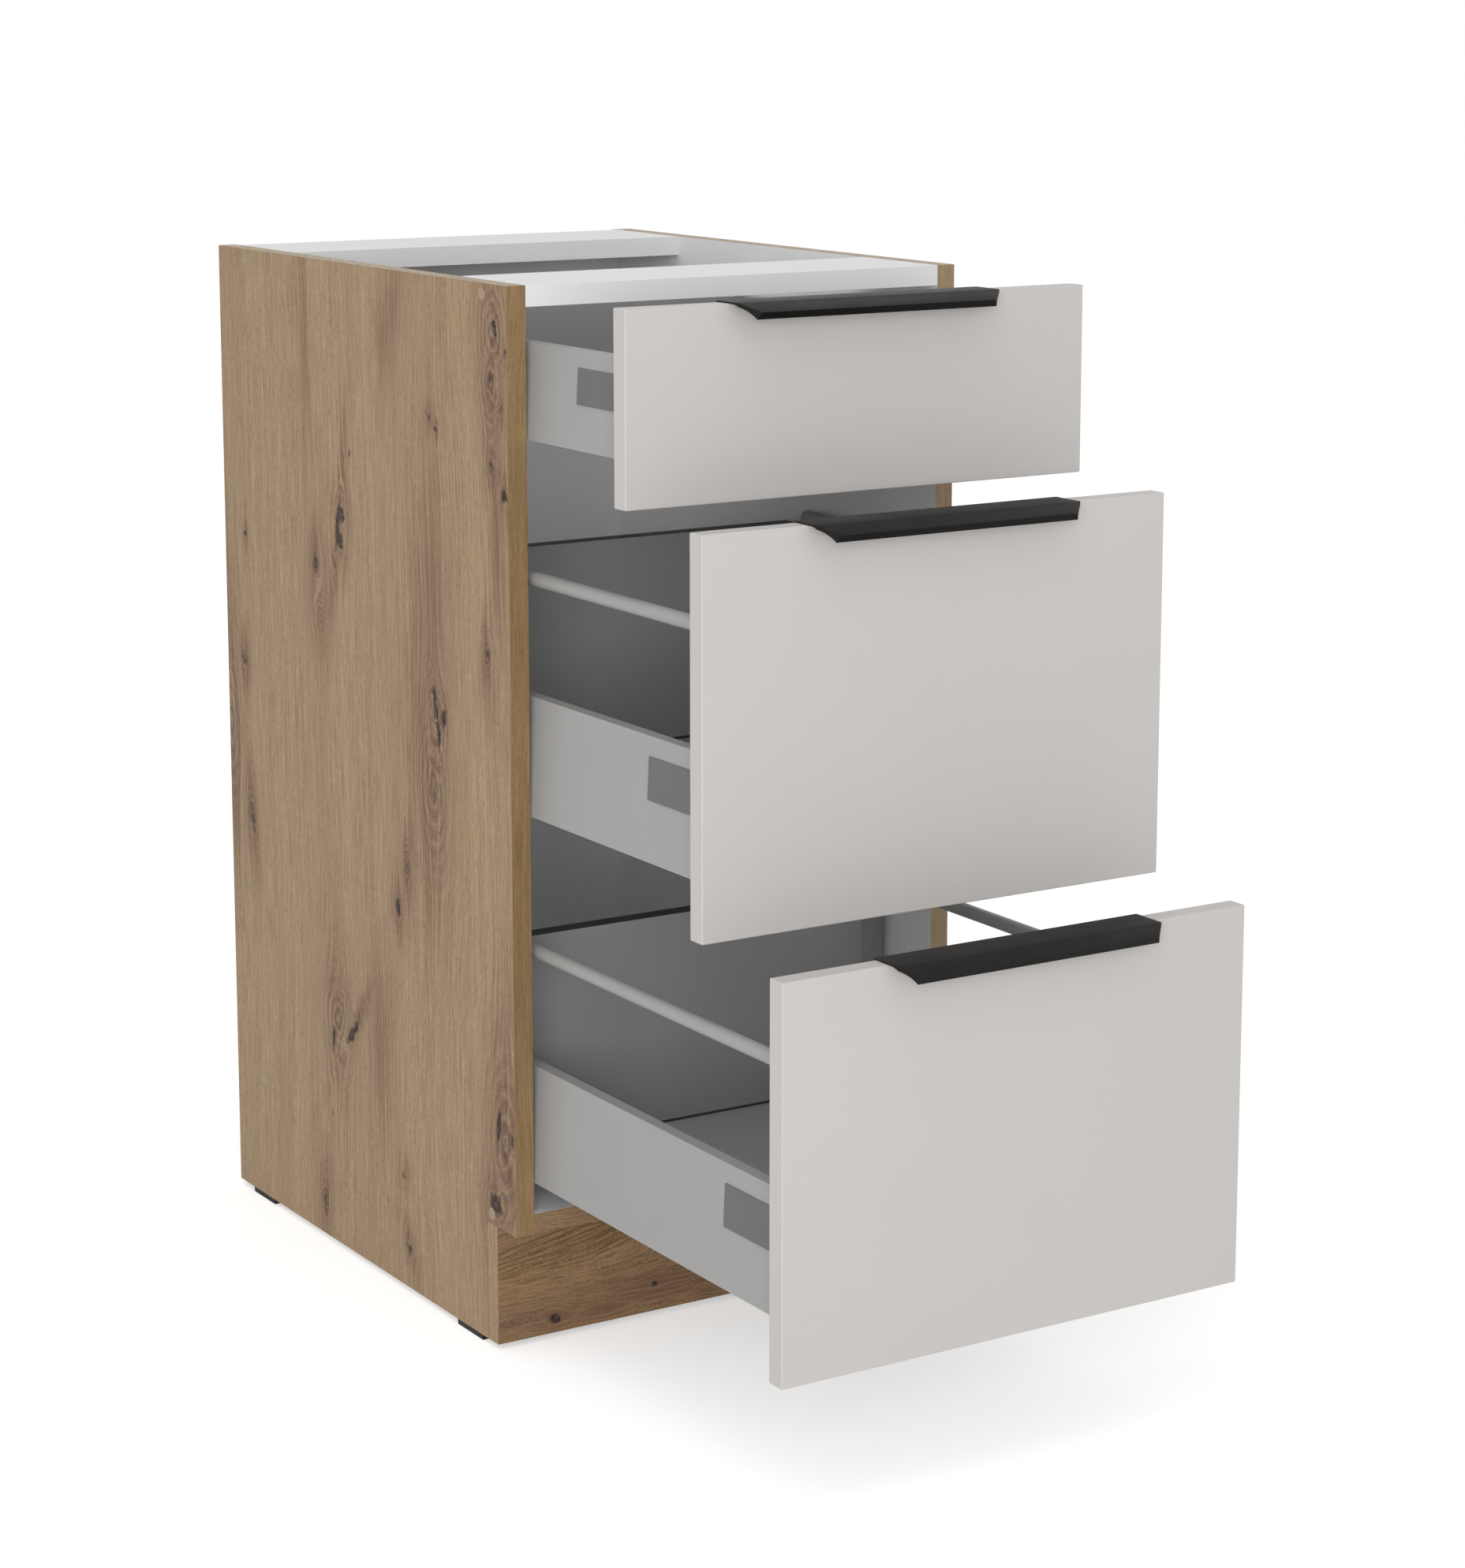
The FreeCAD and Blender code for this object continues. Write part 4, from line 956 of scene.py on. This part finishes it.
for table, drawers in ((DRAWER_PIECES, DRAWERS), (TALL_PIECES, TALL_DRAWERS)):
    for drawer in drawers:
        for name, radius, finish, segments in table:
            soften(f"{name}_{drawer}", radius * MM, finish, segments)
print("drawers dressed")

# %% [markdown]
# Screws repeat many times with the same shape, which is what Geometry Nodes are for. Each CAD screw is a
# head with a shank, so its place and direction are read from the frame: the wider end is the head.
# A point is set there with its direction, and the tree puts a threaded screw with a cross recess on it.

# %% Places of the screws
def islands_of(node):
    """Corner lists of the separate solids in a node, in the order of its mesh."""
    work = bmesh.new()
    work.from_mesh(merged_mesh(node))
    left = set(work.verts)
    found = []
    for first in work.verts:
        if first not in left:
            continue
        left.remove(first)
        stack = [first]
        group = []
        while stack:
            corner = stack.pop()
            group.append(tuple(corner.co))
            for edge in corner.link_edges:
                other = edge.other_vert(corner)
                if other in left:
                    left.remove(other)
                    stack.append(other)
        found.append(np.array(group))
    work.free()
    return found


def screw_axis(corners):
    """Start, direction, length and head radius of a solid screw."""
    low, high = corners.min(0), corners.max(0)
    axis = int(np.argmax(high - low))
    middle = (low + high) / 2
    sides = [other for other in range(3) if other != axis]
    reach = np.linalg.norm(corners[:, sides] - middle[sides], axis=1)
    at_head = corners[np.argmax(reach)][axis]
    start = middle.copy()
    start[axis] = at_head
    direction = np.zeros(3)
    direction[axis] = 1.0 if middle[axis] > at_head else -1.0
    return start, direction, float((high - low)[axis]), float(reach.max())


def points_for(node):
    """Mesh of bare points with the direction of each screw."""
    screws = [screw_axis(corners) for corners in islands_of(node)]
    mesh = bpy.data.meshes.new(f"points_{node}")
    mesh.from_pydata([tuple(start) for start, *rest in screws], [], [])
    turns = mesh.attributes.new("direction", "FLOAT_VECTOR", "POINT")
    turns.data.foreach_set("vector", [part for screw in screws for part in screw[1]])
    longest = max(screw[2] for screw in screws)
    sizes = mesh.attributes.new("size", "FLOAT_VECTOR", "POINT")
    shares = [(1.0, 1.0, screw[2] / longest) for screw in screws]
    sizes.data.foreach_set("vector", [part for share in shares for part in share])
    return mesh, longest, screws[0][3]


# %% [markdown]
# The tree takes the sizes as named inputs. Head: a cone with a cross cut out of it. Shank: a thinner
# core with a point and a spiral thread round it. The turn of each screw about itself is random, with a
# fixed seed, because nobody lines up the crosses of real screws.

# %% Geometry nodes tree of a screw
def build_screw_tree():
    """Threaded countersunk screws on points."""
    tree = bpy.data.node_groups.new("Screws on points", "GeometryNodeTree")
    sizes = [
        ("Head Radius", 3.2 * MM),
        ("Head Height", 1.5 * MM),
        ("Shank Radius", 1.75 * MM),
        ("Length", 13.5 * MM),
        ("Pitch", 1.3 * MM),
    ]
    tree.interface.new_socket("Geometry", in_out="INPUT", socket_type="NodeSocketGeometry")
    for label, size in sizes:
        socket = tree.interface.new_socket(label, in_out="INPUT", socket_type="NodeSocketFloat")
        socket.default_value = size
    seed = tree.interface.new_socket("Seed", in_out="INPUT", socket_type="NodeSocketInt")
    seed.default_value = 7
    tree.interface.new_socket("Finish", in_out="INPUT", socket_type="NodeSocketMaterial")
    tree.interface.new_socket("Geometry", in_out="OUTPUT", socket_type="NodeSocketGeometry")
    given = tree.nodes.new("NodeGroupInput").outputs
    result = tree.nodes.new("NodeGroupOutput").inputs
    core = times(tree, given["Shank Radius"], 0.74)
    head_sizes = {
        "Vertices": 32,
        "Radius Bottom": given["Head Radius"],
        "Radius Top": given["Shank Radius"],
        "Depth": given["Head Height"],
    }
    head = put(tree, "GeometryNodeMeshCone", head_sizes).outputs["Mesh"]
    arm = times(tree, given["Head Radius"], 1.1)
    slit = times(tree, given["Head Radius"], 0.26)
    deep = times(tree, given["Head Height"], 1.5)
    cuts = []
    for wide, narrow in ((arm, slit), (slit, arm)):
        size = vector_of(tree, wide, narrow, deep)
        cuts.append(put(tree, "GeometryNodeMeshCube", {"Size": size}).outputs["Mesh"])
    carve = put(tree, "GeometryNodeMeshBoolean", operation="DIFFERENCE")
    feed(tree, head, carve.inputs["Mesh 1"])
    for cut in cuts:
        feed(tree, cut, carve.inputs["Mesh 2"])
    body_length = minus(tree, given["Length"], given["Head Height"])
    straight = times(tree, body_length, 0.84)
    taper = times(tree, body_length, 0.16)
    shank_sizes = {"Vertices": 16, "Radius": core, "Depth": straight}
    shank = put(tree, "GeometryNodeMeshCylinder", shank_sizes).outputs["Mesh"]
    shank_middle = plus(tree, given["Head Height"], times(tree, straight, 0.5))
    tip_sizes = {"Vertices": 16, "Radius Bottom": core, "Radius Top": 0.15 * MM, "Depth": taper}
    tip = put(tree, "GeometryNodeMeshCone", tip_sizes).outputs["Mesh"]
    tip_start = plus(tree, given["Head Height"], straight)
    rounds = maths(tree, "DIVIDE", straight, given["Pitch"])
    spiral_sizes = {"Rotations": rounds, "Start Radius": core, "End Radius": core, "Height": straight}
    spiral = put(tree, "GeometryNodeCurveSpiral", {"Resolution": 14, **spiral_sizes}).outputs["Curve"]
    ridge_radius = minus(tree, given["Shank Radius"], core)
    ridge_sizes = {"Resolution": 3, "Radius": ridge_radius}
    ridge = put(tree, "GeometryNodeCurvePrimitiveCircle", ridge_sizes).outputs["Curve"]
    sweep = {"Curve": spiral, "Profile Curve": ridge, "Fill Caps": True}
    thread = put(tree, "GeometryNodeCurveToMesh", sweep).outputs[0]
    joined = put(tree, "GeometryNodeJoinGeometry")
    feed(tree, carve.outputs["Mesh"], joined.inputs[0])
    for piece, height in ((shank, shank_middle), (tip, tip_start), (thread, given["Head Height"])):
        offset = vector_of(tree, 0.0, 0.0, height)
        moved = put(tree, "GeometryNodeTransform", {"Geometry": piece, "Translation": offset}).outputs[0]
        feed(tree, moved, joined.inputs[0])
    direction, size = [
        put(tree, "GeometryNodeInputNamedAttribute", {"Name": name}, data_type="FLOAT_VECTOR").outputs[0]
        for name in ("direction", "size")
    ]
    aimed = put(tree, "FunctionNodeAlignRotationToVector", {"Vector": direction}, axis="Z").outputs[0]
    half_turn = {"Min": 0.0, "Max": math.pi, "Seed": given["Seed"]}
    spin = put(tree, "FunctionNodeRandomValue", half_turn, data_type="FLOAT")
    spin_value = [socket for socket in spin.outputs if socket.enabled][0]
    turn = put(tree, "FunctionNodeAxisAngleToRotation", {"Axis": (0, 0, 1), "Angle": spin_value}).outputs[0]
    turned = {"Rotation": aimed, "Rotate By": turn}
    aimed = put(tree, "FunctionNodeRotateRotation", turned, rotation_space="LOCAL").outputs[0]
    spread = {
        "Points": given["Geometry"],
        "Instance": joined.outputs[0],
        "Rotation": aimed,
        "Scale": size,
    }
    placed = put(tree, "GeometryNodeInstanceOnPoints", spread).outputs[0]
    real = put(tree, "GeometryNodeRealizeInstances", {"Geometry": placed}).outputs[0]
    finished = put(tree, "GeometryNodeSetMaterial", {"Geometry": real, "Material": given["Finish"]}).outputs[0]
    feed(tree, finished, result["Geometry"])
    return tree


SCREWS = build_screw_tree()
print("screw tree has", len(SCREWS.nodes), "nodes")

# %% [markdown]
# The same tree now makes the screws of every body, one plain mesh for each, and the modifier is gone
# before the mesh rides on its body. Connector screws are hidden under their caps and the nails show only
# small plain heads, so both keep their CAD shape.

# %% Screws on every body
def set_screws(node, finish, pitch):
    """Replace a node's plain screws by threaded ones."""
    mesh, length, head_radius = points_for(node)
    source = bpy.data.objects.new("source", mesh)
    bpy.context.scene.collection.objects.link(source)
    modifier = source.modifiers.new("screws", "NODES")
    modifier.node_group = SCREWS
    socket_of = {item.name: item.identifier for item in SCREWS.interface.items_tree if item.in_out == "INPUT"}
    settings = {"Length": length, "Head Radius": head_radius, "Pitch": pitch, "Finish": finish}
    for label, setting in settings.items():
        modifier[socket_of[label]] = setting
    count = len(mesh.vertices)
    piece = plain_mesh_of(source, f"threaded_{node}")
    piece.data.set_sharp_from_angle(angle=CREASE_FROM)
    finish_piece(piece, node, finish)
    return count


SCREW_PITCH = 1.3 * MM
for node in ["rail_screws"] + [f"drawer_screws_{drawer}" for drawer in DRAWERS]:
    print(node, set_screws(node, SCREW_ZINC, SCREW_PITCH), "screws")
for node in ("connector_screws", "back_panel_nails"):
    keep(node, SCREW_ZINC)

# %% [markdown]
# The studio is a pale floor, an even white sky that lights from all sides, and two large soft lamps. The
# main lamp stands left of the camera, so its light reaches into the open drawers. The sky looks pure white
# to the camera and in reflections, but lights the cabinet at a lower level, so colours render about as
# they are written. The floor adds a little white for the camera alone, which carries it to pure white
# and leaves the shadow in.

# %% Floor, sky and lamps
SKY_LEVEL = 0.62
FLOOR_LIFT = 0.44
FLOOR_WHITE = 0.93
FLOOR_HALF = 9.0
FLOOR_GAP = 0.2 * MM


def seen_rays(tree):
    """One for rays of the camera, gloss and glass, else zero."""
    rays = put(tree, "ShaderNodeLightPath").outputs
    seen = maths(tree, "MAXIMUM", rays["Is Camera Ray"], rays["Is Glossy Ray"])
    return maths(tree, "MAXIMUM", seen, rays["Is Transmission Ray"])


def make_floor_finish():
    """Matt white studio floor."""
    finish, tree, shader, place = new_finish("studio_floor")
    pearl = place_pearl(tree, place, 300.0, (0.8, 0.9))
    shader.inputs["Base Color"].default_value = grey(FLOOR_WHITE)
    feed(tree, pearl["Roughness"], shader.inputs["Roughness"])
    shader.inputs["Specular IOR Level"].default_value = 0.0
    shader.inputs["Emission Color"].default_value = (1, 1, 1, 1)
    feed(tree, times(tree, seen_rays(tree), FLOOR_LIFT), shader.inputs["Emission Strength"])
    return finish


floor_mesh = bpy.data.meshes.new("studio_floor")
floor_signs = ((-1, -1), (1, -1), (1, 1), (-1, 1))
floor_corners = [(x * FLOOR_HALF, y * FLOOR_HALF, 0) for x, y in floor_signs]
floor_mesh.from_pydata(floor_corners, [], [(0, 1, 2, 3)])
floor_mesh.materials.append(make_floor_finish())
floor = bpy.data.objects.new("studio_floor", floor_mesh)
floor.location.z = -FLOOR_GAP
bpy.context.scene.collection.objects.link(floor)

world = bpy.data.worlds.new("studio_sky")
bpy.context.scene.world = world
world.use_nodes = True
sky_tree = world.node_tree
background = sky_tree.nodes["Background"]
background.inputs["Color"].default_value = (1, 1, 1, 1)
feed(sky_tree, remap(sky_tree, seen_rays(sky_tree), 0.0, 1.0, SKY_LEVEL, 1.0), background.inputs["Strength"])


def add_lamp(name, place, target, size, power):
    """Large soft area lamp aimed at a point."""
    data = bpy.data.lights.new(name, "AREA")
    data.shape = "SQUARE"
    data.size = size
    data.energy = power
    lamp = bpy.data.objects.new(name, data)
    lamp.location = place
    lamp.rotation_euler = (Vector(target) - Vector(place)).to_track_quat("-Z", "Y").to_euler()
    bpy.context.scene.collection.objects.link(lamp)


add_lamp("front_lamp", place=(-2.2, -3.2, 1.25), target=(0, 0, 0.45), size=1.8, power=56)
add_lamp("top_lamp", place=(-0.9, -0.9, 3.0), target=(0, 0, 0.4), size=1.5, power=9)
print("studio ready")
